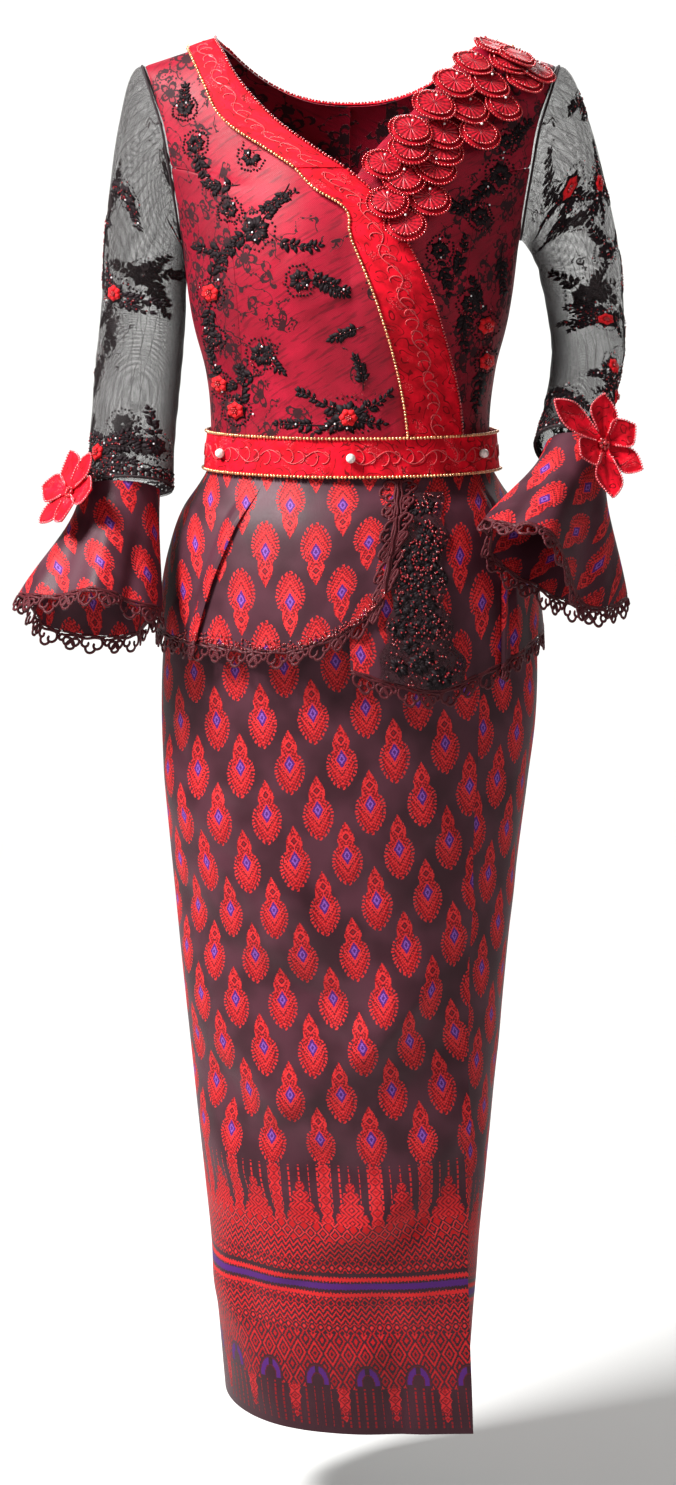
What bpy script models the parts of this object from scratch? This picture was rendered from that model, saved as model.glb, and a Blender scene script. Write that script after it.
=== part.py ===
"""A Khmer traditional outfit, held in the hollow form that it has when worn.

The blouse has a body cut with princess seams, fronts that cross, long sleeves that end in bell cuffs,
and a pleated peplum. The skirt is a narrow wrapped sampot. Metres, +Z up, the front faces -Y, and the
wearer's right is at -X. The origin is the centre of the waist, at the middle of the belt's height.
"""

import math

import bmesh
import bpy
import numpy as np

# Driving sizes, in metres.
CLOTH = 0.0015
BROCADE = 0.0013
SHEER = 0.0010
SEAM = 0.0003
LAP = 0.0034
BAND_GAP = 0.0015
BAND = 0.0020
SHOULDER = 0.355
SHOULDER_DROP = 0.020
NECK_HALF = 0.118
TIP_HALF = 0.180
ARMPIT = 0.185
BELT_HALF = 0.0165
SKIRT_TOP = 0.020
SKIRT_HEM = 0.889
EDGING_WIDTH = 0.0155
EDGING_REPEAT = 0.040
STEP_ROUND = 10.0


def table(names, *rows):
    """A table with named columns, as one array for each name."""
    return dict(zip(names.split(), np.array(rows, float).T))


def along(rows, name, at):
    """The smooth curve through one column of a table, read at places along its first column."""
    xs, ys = next(iter(rows.values())), rows[name]
    if xs[0] > xs[-1]:
        xs, ys = xs[::-1], ys[::-1]
    at = np.clip(np.asarray(at, float), xs[0], xs[-1])
    slopes = np.gradient(ys, xs)
    i = np.clip(np.searchsorted(xs, at) - 1, 0, len(xs) - 2)
    gap = xs[i + 1] - xs[i]
    t = (at - xs[i]) / gap
    start = (1 + 2 * t) * (1 - t) ** 2 * ys[i] + t * (1 - t) ** 2 * gap * slopes[i]
    end = t * t * (3 - 2 * t) * ys[i + 1] + t * t * (t - 1) * gap * slopes[i + 1]
    return start + end


def ease(value, start, end):
    """0 before start and 1 after end, smooth between them."""
    t = np.clip((np.asarray(value, float) - start) / (end - start), 0, 1)
    return t * t * (3 - 2 * t)


def unit(vectors):
    return vectors / np.maximum(np.linalg.norm(vectors, axis=-1, keepdims=True), 1e-12)


# The blouse's body: rings of the outer face, from the waist to the shoulders.
BODY = table(
    "height half_width front back",
    (-0.0200, 0.1285, 0.0985, 0.0915),
    (0.0000, 0.1255, 0.0955, 0.0885),
    (0.0260, 0.1250, 0.0955, 0.0885),
    (0.0680, 0.1290, 0.1000, 0.0920),
    (0.1020, 0.1375, 0.1060, 0.0985),
    (0.1350, 0.1440, 0.1100, 0.1060),
    (0.1850, 0.1500, 0.1110, 0.1150),
    (0.2200, 0.1600, 0.1100, 0.1190),
    (0.2600, 0.1730, 0.1080, 0.1190),
    (0.3000, 0.1860, 0.1060, 0.1160),
    (0.3550, 0.2000, 0.1040, 0.1120),
)
BUST = {"across": 0.078, "height": 0.158, "round": 0.058, "depth": 0.013}

# How far the cut lines lie from the centre, on the wearer's right.
ARMHOLE = table(
    "height across",
    (0.185, 0.1500),
    (0.200, 0.1508),
    (0.220, 0.1530),
    (0.250, 0.1570),
    (0.285, 0.1620),
    (0.320, 0.1710),
    (0.355, 0.1800),
)
PRINCESS = table(
    "height across",
    (0.000, 0.091),
    (0.050, 0.093),
    (0.100, 0.096),
    (0.143, 0.099),
    (0.180, 0.103),
    (0.208, 0.108),
    (0.226, 0.114),
    (0.236, 0.120),
    (0.243, 0.134),
    (0.2488, 0.1556),
)
PRINCESS_TOP = 0.2488

# The crossing edge of the right front, from the left waist to the right side of the neck.
CROSS_EDGE = table(
    "height across",
    (0.000, 0.0945),
    (0.050, 0.0900),
    (0.108, 0.0770),
    (0.140, 0.0670),
    (0.167, 0.0554),
    (0.194, 0.0410),
    (0.223, 0.0198),
    (0.242, -0.0029),
    (0.2565, -0.0256),
    (0.2773, -0.0556),
    (0.302, -0.0823),
    (0.3275, -0.1029),
    (0.343, -0.1110),
    (0.355, -0.1180),
)
LEFT_NECK = table(
    "height across",
    (0.236, 0.0030),
    (0.250, 0.0120),
    (0.265, 0.0240),
    (0.285, 0.0440),
    (0.300, 0.0600),
    (0.320, 0.0800),
    (0.338, 0.0980),
    (0.355, 0.1180),
)
BAND_EDGE = table(
    "height across",
    (0.000, 0.0490),
    (0.050, 0.0430),
    (0.108, 0.0302),
    (0.140, 0.0200),
    (0.167, 0.0090),
    (0.190, -0.0013),
    (0.2148, -0.0150),
    (0.2190, -0.0266),
    (0.2372, -0.0515),
    (0.259, -0.0763),
    (0.2854, -0.1087),
    (0.3184, -0.1260),
    (0.337, -0.1340),
    (0.355, -0.1420),
)
LAP_UNDER = -0.022
BACK_NECK = {"height": 0.302, "power": 2.4, "width": 0.026}

LOWER_ROWS = (0.0, 0.018, 0.045, 0.075, 0.105, 0.135, 0.160, ARMPIT)
ARM_ROWS = (ARMPIT, 0.200, 0.220, PRINCESS_TOP, 0.275, 0.300, 0.322, 0.340, 0.350, SHOULDER)


def torso(angle, height):
    """The blouse's outer face at an angle from the centre front, in radians, and a height along the body.

    Above the armpit the depth shrinks to nothing at the shoulder seam, which slopes down outwards.
    """
    angle, height = np.broadcast_arrays(np.asarray(angle, float), np.asarray(height, float))
    rise = np.clip((height - ARMPIT) / (SHOULDER - ARMPIT), 0, 1)
    across = along(BODY, "half_width", height) * np.sin(angle)
    facing = np.cos(angle)
    front = along(BODY, "front", height) * np.sqrt(1 - rise**1.5)
    back = along(BODY, "back", height) * np.sqrt(1 - rise**2.2)
    y = -np.where(facing > 0, front, back) * facing - np.sign(facing) * SEAM / 2
    spot = ((np.abs(across) - BUST["across"]) ** 2 + (height - BUST["height"]) ** 2) / BUST["round"] ** 2
    y = y - BUST["depth"] * np.exp(-spot) * np.clip(facing, 0, 1)
    outwards = (np.abs(across) - NECK_HALF) / (TIP_HALF - NECK_HALF)
    z = height - SHOULDER_DROP * rise**2 * np.clip(outwards, -0.15, 1.1)
    return np.stack([across, y, z], axis=-1)


def angle_at(across, height):
    """The angle from the centre front at which the torso is that far across."""
    return np.arcsin(np.clip(across / along(BODY, "half_width", height), -1, 1))


def front_lap(across):
    """How far the right front stands out where it lies over the left front."""
    return LAP * ease(across, -0.085, -0.035)


# The peplum and the skirt: rings of their outer faces below the waist.
PEPLUM = table(
    "height half_width front back",
    (0.000, 0.1255, 0.0955, 0.0885),
    (-0.018, 0.1282, 0.0982, 0.0912),
    (-0.030, 0.1350, 0.1035, 0.0975),
    (-0.050, 0.1490, 0.1160, 0.1130),
    (-0.090, 0.1640, 0.1290, 0.1290),
    (-0.130, 0.1720, 0.1370, 0.1400),
    (-0.170, 0.1770, 0.1430, 0.1470),
    (-0.220, 0.1820, 0.1480, 0.1520),
)
SKIRT = table(
    "height half_width front back sway",
    (-0.020, 0.1235, 0.0930, 0.0860, 0.0000),
    (-0.050, 0.1400, 0.1050, 0.1020, 0.0000),
    (-0.090, 0.1550, 0.1140, 0.1170, 0.0000),
    (-0.130, 0.1640, 0.1180, 0.1270, 0.0000),
    (-0.170, 0.1690, 0.1200, 0.1330, 0.0000),
    (-0.236, 0.1710, 0.1210, 0.1360, -0.0010),
    (-0.300, 0.1665, 0.1215, 0.1340, -0.0035),
    (-0.382, 0.1585, 0.1220, 0.1290, -0.0050),
    (-0.555, 0.1430, 0.1220, 0.1210, -0.0050),
    (-0.650, 0.1345, 0.1215, 0.1180, -0.0045),
    (-0.750, 0.1255, 0.1210, 0.1150, -0.0040),
    (-0.889, 0.1155, 0.1200, 0.1110, -0.0030),
)


def ring(rows, angle, height):
    """A point of a lower ring, at an angle from the centre front, in radians."""
    angle, height = np.broadcast_arrays(np.asarray(angle, float), np.asarray(height, float))
    facing = np.cos(angle)
    depth = np.where(facing > 0, along(rows, "front", height), along(rows, "back", height))
    across = along(rows, "half_width", height) * np.sin(angle)
    if "sway" in rows:
        across = across + along(rows, "sway", height)
    return np.stack([across, -depth * facing, height], axis=-1)


def facing_of(surface, angle, height, level=False):
    """The way that a surface faces, found from points close by. At the shoulder seam it is straight up."""
    angle, height = np.broadcast_arrays(np.asarray(angle, float), np.asarray(height, float))
    near, step = np.minimum(height, SHOULDER - 0.002), 0.001
    across = surface(angle + step, near) - surface(angle - step, near)
    rise = surface(angle, near + step) - surface(angle, near - step)
    facing = np.cross(across, rise)
    facing[height > SHOULDER - 1e-6] = (0, 0, 1)
    return unit(facing * (1, 1, 0)) if level else unit(facing)


def tube_facing(grid):
    """The way that each point of a closed tube's grid faces, turned away from the tube's middle line."""
    wide = np.concatenate([grid[:, -1:], grid, grid[:, :1]], axis=1)
    found = unit(np.cross(np.gradient(wide, axis=1)[:, 1:-1], np.gradient(grid, axis=0)))
    middle = grid.mean(axis=1, keepdims=True)
    return found if ((grid - middle) * found).sum() > 0 else -found


def material(name, colour, roughness, metallic=0.0):
    made = bpy.data.materials.new(name)
    made.use_nodes = True
    shader = made.node_tree.nodes["Principled BSDF"]
    shader.inputs["Base Color"].default_value = (*colour, 1.0)
    shader.inputs["Roughness"].default_value = roughness
    shader.inputs["Metallic"].default_value = metallic
    made.diffuse_color = (*colour, 1.0)
    return made


def new_object(name, points, faces, finish):
    """A named object from points and faces, all facing out."""
    mesh = bpy.data.meshes.new(name)
    work = bmesh.new()
    corners = [work.verts.new(point) for point in points]
    for face in faces:
        work.faces.new([corners[i] for i in face])
    bmesh.ops.recalc_face_normals(work, faces=work.faces)
    if work.calc_volume(signed=True) < 0:
        bmesh.ops.reverse_faces(work, faces=work.faces)
    work.to_mesh(mesh)
    work.free()
    mesh.materials.append(finish)
    mesh.shade_smooth()
    mesh.set_sharp_from_angle(angle=math.radians(40))
    made = bpy.data.objects.new(name, mesh)
    bpy.context.scene.collection.objects.link(made)
    return made


def wall(name, outer, inner, finish, closed=False, holes=()):
    """A cloth wall between two matching grids, rows by columns. Cells in holes are left open."""
    rows, columns = outer.shape[:2]
    spans = columns if closed else columns - 1
    holes = set(holes)
    size = rows * columns
    faces, borders = [], {}
    for r in range(rows - 1):
        for c in range(spans):
            if (r, c) in holes:
                continue
            d = (c + 1) % columns
            cell = (r * columns + c, r * columns + d, (r + 1) * columns + d, (r + 1) * columns + c)
            faces.append(cell)
            faces.append(tuple(size + i for i in reversed(cell)))
            for a, b in zip(cell, cell[1:] + cell[:1]):
                if (b, a) in borders:
                    del borders[b, a]
                else:
                    borders[a, b] = True
    faces += [(b, a, size + a, size + b) for a, b in borders]
    used = sorted({i for face in faces for i in face})
    place = {old: new for new, old in enumerate(used)}
    points = np.concatenate([outer.reshape(-1, 3), inner.reshape(-1, 3)])[used]
    return new_object(name, points, [[place[i] for i in face] for face in faces], finish)


def body_wall(name, surface, angle, height, finish, thickness=CLOTH, out=0.0, closed=False, level=False):
    """A wall whose outer face is a grid on a surface round the body, moved out by a given amount."""
    points, facing = surface(angle, height), facing_of(surface, angle, height, level)
    outer = points + facing * np.broadcast_to(out, points.shape[:2])[..., None]
    wall(name, outer, outer - facing * thickness, finish, closed)
    return outer, facing


def inset_rows(lefts, rights, columns, gap=SEAM / 2, ring_radius=0.13):
    """Angles from a left to a right edge, kept half a seam's gap inside both."""
    trim = gap / ring_radius
    shares = np.linspace(0, 1, columns)
    return (lefts + trim)[:, None] * (1 - shares) + (rights - trim)[:, None] * shares


def bodice_panels(finish):
    """The four front panels and two back panels of the blouse's body."""
    low = np.array(LOWER_ROWS)
    high = np.array(ARM_ROWS[1:])
    full = np.concatenate([low, high])
    to_princess = full[full <= PRINCESS_TOP]
    quarter = math.pi / 2

    def outer_edge(heights):
        arm = angle_at(along(ARMHOLE, "across", heights), heights)
        return np.where(heights <= ARMPIT, quarter, arm)

    princess = angle_at(along(PRINCESS, "across", to_princess), to_princess)
    centre_edge = np.concatenate([princess, outer_edge(full[len(to_princess):])])
    side = outer_edge(to_princess)
    level = (to_princess - 0.0008 * (to_princess == to_princess[-1]))[:, None]
    body_wall("bodice_front_right_side", torso, inset_rows(-side, -princess, 4), level, finish)
    body_wall("bodice_front_left_side", torso, inset_rows(princess, side, 4), level, finish)

    cross = angle_at(along(CROSS_EDGE, "across", full), full)
    angles = inset_rows(-centre_edge, cross, 8)
    lap = front_lap(torso(angles, full[:, None])[..., 0])
    body_wall("bodice_front_right_centre", torso, angles, full[:, None], finish, out=lap)

    under = angle_at(np.full(len(full), LAP_UNDER), full)
    neck = angle_at(along(LEFT_NECK, "across", full), full)
    free = np.where(full < 0.236, under, neck)
    body_wall("bodice_front_left_centre", torso, inset_rows(free, centre_edge, 6), full[:, None], finish)

    arm, centre_trim = outer_edge(full), 0.0012
    shares = np.linspace(0, 1, 7)
    for name, way in (("bodice_back_right", -1), ("bodice_back_left", 1)):
        turns = inset_rows(np.full(len(full), centre_trim / 2), arm, 7)
        top = back_neck(np.sin(shares * 1.12) * 0.2 / NECK_HALF)
        levels = np.where((full <= ARMPIT)[:, None], full[:, None],
                          ARMPIT + (full[:, None] - ARMPIT) * (top - ARMPIT) / (SHOULDER - ARMPIT))
        body_wall(name, torso, way * (math.pi - turns), levels, finish)


def back_neck(share, drop=SHOULDER - BACK_NECK["height"]):
    """The height of the back neckline, at a share of the way from the centre to the neck's side."""
    return SHOULDER - drop * (1 - np.clip(np.abs(share), 0, 1) ** BACK_NECK["power"])


def front_bands(finish):
    """The velvet band on the crossing edge: round the neck, and from the point of the V to the belt."""
    spans = {
        "neck_band": (0.2435, 0.257, 0.270, 0.285, 0.300, 0.315, 0.328, 0.340, 0.350, SHOULDER),
        "front_band": (BELT_HALF + 0.0008, 0.045, 0.075, 0.105, 0.130, 0.153, 0.174, 0.194, 0.212, 0.228,
                       0.2425),
    }
    for name, heights in spans.items():
        heights = np.array(heights)
        left = angle_at(along(BAND_EDGE, "across", heights - band_slant(heights)), heights)
        right = angle_at(along(CROSS_EDGE, "across", heights), heights)
        angles = inset_rows(left, right, 4)
        lap = front_lap(torso(angles, heights[:, None])[..., 0])
        body_wall(name, torso, angles, heights[:, None], finish, BAND, lap + BAND_GAP + BAND)


def band_slant(heights):
    """How much lower the band's outer edge is read near the point of the V, so its end is cut square."""
    return 0.010 * np.exp(-((heights - 0.243) / 0.022) ** 2)


def back_neck_band(finish):
    """The plain band round the back of the neck, from shoulder to shoulder."""
    shares = np.sin(np.linspace(-1, 1, 17) * 1.45) / math.sin(1.45)
    rows, levels = [], []
    for step in np.linspace(0, 1, 3):
        half = NECK_HALF + (0.142 - NECK_HALF) * step
        level = back_neck(shares, SHOULDER - BACK_NECK["height"] + BACK_NECK["width"] * step)
        rows.append(math.pi - angle_at(half * shares, level))
        levels.append(level)
    body_wall("neck_band_back", torso, np.array(rows)[::-1], np.array(levels)[::-1], finish, BAND,
              BAND + 0.0022)


def belt(finish, pearl):
    """The belt, a closed band over the waist seam, and its six pearls."""
    angles = np.radians(np.arange(0, 360, STEP_ROUND))
    heights = np.array([-BELT_HALF, 0.0, BELT_HALF])[:, None]
    across = torso(angles, heights)[..., 0]
    lap = front_lap(across) * (np.cos(angles) > 0.05)
    outer, facing = body_wall("belt", torso, angles, heights, finish, BAND, lap + BAND_GAP + BAND, True, True)
    radius = 0.0042
    for i in range(6):
        column = i * len(angles) // 6
        work = bmesh.new()
        bmesh.ops.create_uvsphere(work, u_segments=8, v_segments=5, radius=radius)
        middle = outer[1, column] + facing[1, column] * (radius + 0.0004)
        bmesh.ops.translate(work, verts=work.verts, vec=middle)
        points = [v.co[:] for v in work.verts]
        faces = [[v.index for v in f.verts] for f in work.faces]
        work.free()
        new_object(f"belt_pearl_{i + 1}", points, faces, pearl)


# Each arm of the blouse: the middle of the sleeve and its radius, from below the armpit to the cuff seam.
RIGHT_ARM = table(
    "station x y z radius",
    (0, -0.1830, 0.014, 0.162, 0.0375),
    (1, -0.1855, 0.016, 0.121, 0.0380),
    (2, -0.1885, 0.010, 0.084, 0.0385),
    (3, -0.1920, -0.002, 0.046, 0.0385),
    (4, -0.1945, -0.016, 0.007, 0.0380),
    (5, -0.1955, -0.030, -0.034, 0.0375),
)
LEFT_ARM = table(
    "station x y z radius",
    (0, 0.2045, 0.014, 0.162, 0.0370),
    (1, 0.2105, 0.016, 0.126, 0.0345),
    (2, 0.2125, 0.008, 0.092, 0.0325),
    (3, 0.2080, -0.013, 0.060, 0.0310),
    (4, 0.1995, -0.040, 0.031, 0.0300),
    (5, 0.1900, -0.069, 0.003, 0.0300),
)
ARM_STEPS = 10
CAP_STEPS = 5


def armhole_loop(way):
    """The edge of an armhole, from the shoulder down the front to the armpit and up the back."""
    heights = np.array(ARM_ROWS)
    edge = np.where(heights <= ARMPIT, math.pi / 2, angle_at(along(ARMHOLE, "across", heights), heights))
    front = torso(way * edge, heights)[::-1]
    back = torso(way * (math.pi - edge), heights)[1:-1]
    return np.concatenate([front, back])


def arm_frame(path, way):
    """At each point of a sleeve's middle line: the way along it, the way outwards and the way forwards."""
    ahead = unit(np.gradient(path, axis=0))
    forward = unit(np.array([0.0, -1.0, 0.0]) - (ahead @ np.array([0.0, -1.0, 0.0]))[:, None] * ahead)
    side = np.cross(ahead, forward)
    side = side * np.sign(side @ np.array([way, 0.0, 0.0]))[:, None]
    return ahead, side, forward


def turns_of(loop):
    """How far round each point of the armhole is, as an angle, by its distance along the edge."""
    steps = np.linalg.norm(np.roll(loop, -1, axis=0) - loop, axis=1)
    half = len(loop) // 2
    first = np.concatenate([[0], np.cumsum(steps[:half])])
    second = np.cumsum(steps[half:])[:-1]
    return np.concatenate([math.pi * first / first[-1], math.pi * (1 + second / steps[half:].sum())])


def sleeve_grid(arm, way):
    """The outer face of a sleeve: the cap grows out of the armhole, then rings follow the arm."""
    loop = armhole_loop(way)
    turn = turns_of(loop)
    stations = np.linspace(0, arm["station"][-1], ARM_STEPS)
    path = np.stack([along(arm, axis, stations) for axis in "xyz"], axis=-1)
    radius = along(arm, "radius", stations)[:, None, None]
    ahead, side, forward = arm_frame(path, way)
    spoke = np.cos(turn)[None, :, None] * side[:, None] + np.sin(turn)[None, :, None] * forward[:, None]
    rings = path[:, None] + spoke * radius
    start = loop + np.array([way * 0.0006, 0, 0])
    reach = np.linalg.norm(rings[0] - start, axis=1)[:, None]
    outwards = np.array([way, 0, 0]) + np.cos(turn)[:, None] * np.array([0, 0, 0.25])
    leave = unit(outwards) * reach * (0.30 + 0.05 * np.cos(turn)[:, None])
    arrive = ahead[0] * reach
    cap = []
    for t in np.linspace(0, 1, CAP_STEPS + 1)[:-1]:
        cap.append((1 + 2 * t) * (1 - t) ** 2 * start + t * (1 - t) ** 2 * leave
                   + t * t * (3 - 2 * t) * rings[0] + t * t * (t - 1) * arrive)
    return np.concatenate([np.array(cap), rings]), ahead[-1], side[-1], forward[-1]


# Each cuff's hem, round from its outer side through the front.
RIGHT_HEM = table(
    "turn x y z",
    (0, -0.2928, -0.060, -0.1221),
    (45, -0.2639, -0.100, -0.1186),
    (90, -0.2203, -0.120, -0.1107),
    (135, -0.1850, -0.115, -0.1219),
    (180, -0.1680, -0.080, -0.1372),
    (225, -0.1930, -0.028, -0.1608),
    (270, -0.2311, 0.000, -0.1704),
    (315, -0.2757, -0.015, -0.1554),
    (360, -0.2928, -0.060, -0.1221),
)
LEFT_HEM = table(
    "turn x y z",
    (0, 0.2426, -0.085, -0.1206),
    (40, 0.2061, -0.137, -0.1226),
    (75, 0.1785, -0.170, -0.0704),
    (110, 0.1505, -0.180, -0.0464),
    (150, 0.1249, -0.166, -0.0481),
    (190, 0.1159, -0.140, -0.0488),
    (235, 0.1292, -0.125, -0.0835),
    (270, 0.1634, -0.095, -0.1153),
    (315, 0.2163, -0.055, -0.1322),
    (360, 0.2426, -0.085, -0.1206),
)
CUFF_WAVES = {"count": 5, "depth": 0.0045}
CUFF_COLUMNS = 30
CUFF_DEPTHS = (0.0, 0.14, 0.32, 0.54, 0.78, 1.0)


def cuff_grid(rows, centre, radius, axes, columns):
    """The outer face of a bell cuff, flaring from the sleeve's end to its hem, with soft flutes."""
    ahead, side, forward = axes
    turn = np.linspace(0, 360, columns, endpoint=False)
    spoke = np.cos(np.radians(turn))[:, None] * side + np.sin(np.radians(turn))[:, None] * forward
    start = centre + spoke * radius
    hem = np.stack([along(rows, axis, turn) for axis in "xyz"], axis=-1)
    hem = hem + spoke * CUFF_WAVES["depth"] * np.sin(np.radians(turn * CUFF_WAVES["count"]))[:, None]
    leave = ahead * np.linalg.norm(hem - start, axis=1)[:, None] * 0.9
    grid = []
    for t in CUFF_DEPTHS:
        grid.append((1 + 2 * t) * (1 - t) ** 2 * start + t * (1 - t) ** 2 * leave
                    + t * t * (3 - 2 * t) * hem + t * t * (t - 1) * (hem - start) * 1.15)
    return np.array(grid)


# One repeat of the cutwork edging: places along it and across it, as shares, for its four lines.
EDGING_LINES = table(
    "column top upper lower bottom shift",
    (0, 0.00, 0.20, 0.74, 0.92, 0.02),
    (1, 0.00, 0.16, 0.80, 1.00, 0.07),
    (2, 0.00, 0.24, 0.68, 0.86, 0.00),
    (3, 0.00, 0.24, 0.66, 0.84, -0.06),
)
EDGING_HOLES = ((1, 0), (1, 2))


def edging(name, border, facing, away, finish, gap=0.0012):
    """A strip of cutwork scrolls along a cloth's edge: each repeat has one large and one small gap."""
    run = np.concatenate([[0], np.cumsum(np.linalg.norm(np.diff(border, axis=0), axis=1))])
    repeats = max(1, round(run[-1] / EDGING_REPEAT))
    per = len(EDGING_LINES["column"])
    count = repeats * per + 1
    index = np.arange(count)
    shift = EDGING_LINES["shift"][index % per]
    shift[[0, -1]] = 0
    place = (index / per + shift) / repeats * run[-1]

    def read(values):
        return np.stack([np.interp(place, run, values[:, k]) for k in range(3)], axis=-1)

    start, up, out = read(border), unit(read(facing)), unit(read(away))
    lines = []
    for line in ("top", "upper", "lower", "bottom"):
        depth = gap + EDGING_LINES[line][index % per] * EDGING_WIDTH
        lines.append(start + out * depth[:, None])
    outer = np.array(lines)
    holes = [(r, k * per + c) for k in range(repeats) for r, c in EDGING_HOLES]
    wall(name, outer, outer - up[None] * SHEER, finish, holes=holes)


def sheet_solid(name, points, under, faces, finish):
    """A cloth wall from one layer of faces, doubled onto its matching under points and closed."""
    size, layer, borders = len(points), [tuple(face) for face in faces], {}
    for face in layer:
        for a, b in zip(face, face[1:] + face[:1]):
            if (b, a) in borders:
                del borders[b, a]
            else:
                borders[a, b] = True
    sides = [(b, a, size + a, size + b) for a, b in borders]
    backs = [tuple(size + i for i in reversed(face)) for face in layer]
    return new_object(name, np.concatenate([points, under]), layer + backs + sides, finish)


# Each flower's petals: the way that each points, in degrees round from the arm's upper side, and its length.
RIGHT_PETALS = table(
    "turn length",
    (-15, 0.042),
    (45, 0.041),
    (100, 0.046),
    (160, 0.037),
    (222, 0.038),
    (285, 0.040),
)
LEFT_PETALS = table(
    "turn length",
    (-20, 0.046),
    (34, 0.037),
    (98, 0.040),
    (158, 0.053),
    (216, 0.034),
    (277, 0.060),
)
FLOWER_SEAT = {"right": (1, 3, 0.012), "left": (1, 6, 0.014)}
FLOWER_FACING = {"right": (0.75, 0.60, -0.30), "left": (0.30, 0.90, 0.10)}
PETAL = {"half": 0.0118, "hub": 0.0075, "cup": 0.006, "thick": 0.0018, "stem": 0.0035}


def petal_flower(name, sewn, clear, surface, facing, upward, petals, finish):
    """A velvet flower on a short stem: pointed petals joined by a small hub, each raised at its tip.

    It is sewn on at a point of the cuff, where the cuff's surface faces its own way.
    """
    centre = sewn + surface * clear
    facing = unit(facing)
    upward = unit(upward - (upward @ facing) * facing)
    across = np.cross(upward, facing)
    count, steps = len(petals["turn"]), 4
    rim = count * steps
    points = [centre + facing * 0.002]
    for i in range(rim):
        petal, step = divmod(i, steps)
        turn = math.radians(petals["turn"][petal] + (step - steps / 2) * 360 / rim)
        points.append(centre + PETAL["hub"] * (math.cos(turn) * upward + math.sin(turn) * across))
    faces = [(0, 1 + i, 1 + (i + 1) % rim) for i in range(rim)]
    for p in range(count):
        turn, length = math.radians(petals["turn"][p]), petals["length"][p]
        ray = math.cos(turn) * upward + math.sin(turn) * across
        beside = math.cos(turn) * across - math.sin(turn) * upward
        row = [1 + (p * steps + k) % rim for k in range(steps + 1)]
        for share, wide, lift in ((0.36, 0.52, 0.5), (0.70, 0.86, 0.9), (1.0, 0.10, 1.4)):
            new = []
            for k in range(steps + 1):
                lean = (k - steps / 2) / (steps / 2)
                raised = PETAL["cup"] * (lift + 0.35 * lean**2 * (1.2 - share)) + 0.0012 * (p % 2)
                sideways = beside * PETAL["half"] * wide * lean
                points.append(centre + ray * length * share + sideways + facing * raised)
                new.append(len(points) - 1)
            faces += [(row[k], new[k], new[k + 1], row[k + 1]) for k in range(steps)]
            row = new
    points = np.array(points)
    under = points - facing * PETAL["thick"]
    hub = slice(0, rim + 1)
    spread = points[hub] - centre
    spread = spread - (spread @ surface)[:, None] * surface
    under[hub] = sewn + surface * 0.0005 + spread * PETAL["stem"] / PETAL["hub"]
    sheet_solid(name, points, under, faces, finish)


def sleeves_and_cuffs(net, brocade, cutwork, velvet):
    """Both sleeves, each with its bell cuff, the cuff's cutwork in two halves, and its flower."""
    sides = (
        ("right", RIGHT_ARM, RIGHT_HEM, RIGHT_PETALS, -1),
        ("left", LEFT_ARM, LEFT_HEM, LEFT_PETALS, 1),
    )
    for side, arm, hem, petals, way in sides:
        grid, ahead, out, forward = sleeve_grid(arm, way)
        wall(f"sleeve_{side}", grid, grid - tube_facing(grid) * SHEER, net, closed=True)
        centre = grid[-1].mean(axis=0) + ahead * SEAM
        radius = np.linalg.norm(grid[-1] - grid[-1].mean(axis=0), axis=1).mean()
        cuff = cuff_grid(hem, centre, radius, (ahead, out, forward), CUFF_COLUMNS)
        facing = tube_facing(cuff)
        wall(f"cuff_{side}", cuff, cuff - facing * BROCADE, brocade, closed=True)
        away = unit(cuff[-1] - cuff[-2])
        half = CUFF_COLUMNS // 2
        for part, first in (("front", 0), ("back", half)):
            pick = (np.arange(half + 1) + first) % CUFF_COLUMNS
            border = cuff[-1][pick]
            border[0] += unit(border[1] - border[0]) * SEAM
            border[-1] -= unit(border[-1] - border[-2]) * SEAM
            edging(f"cuff_edging_{side}_{part}", border, facing[-1][pick], away[pick], cutwork)
        row, column, clear = FLOWER_SEAT[side]
        turned = np.array(FLOWER_FACING[side]) @ np.array([out, forward, ahead])
        petal_flower(f"cuff_flower_{side}", cuff[row, column], clear, facing[row, column], turned, -ahead,
                     petals, velvet)


# The peplum's hem: angle from the centre front, in degrees, and height. Pleats fold the cloth under itself.
HEM_RIGHT = table(
    "hem_angle hem_height",
    (-90, -0.158),
    (-70, -0.160),
    (-50, -0.161),
    (-36, -0.163),
    (-24, -0.163),
    (-14, -0.158),
    (-5, -0.148),
    (3, -0.133),
    (9, -0.115),
)
HEM_LEFT = table(
    "hem_angle hem_height",
    (0, -0.178),
    (12, -0.190),
    (24, -0.198),
    (38, -0.188),
    (55, -0.172),
    (72, -0.163),
    (90, -0.158),
)
HEM_BACK = table(
    "hem_angle hem_height",
    (90, -0.158),
    (135, -0.160),
    (180, -0.161),
    (225, -0.160),
    (270, -0.158),
)
PLEAT = {"under": 5.0, "lift": 0.0050, "spacing": 0.0021}


def pleat_columns(waist_angle, hem_angle, way):
    """The five columns of one knife pleat: angles at the waist and at the hem, and lift at the hem."""
    under = PLEAT["under"] * way
    top = PLEAT["lift"]
    gap = PLEAT["spacing"]
    return [
        (waist_angle - 2.4 * way, hem_angle - 1.2 * way, top),
        (waist_angle - 1.2 * way, hem_angle, top - 0.4 * gap),
        (waist_angle, hem_angle - under, top - gap),
        (waist_angle + 1.2 * way, hem_angle - under - 0.6 * way, top - 1.5 * gap),
        (waist_angle + 2.4 * way, hem_angle, top - 2.2 * gap),
    ]


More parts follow.
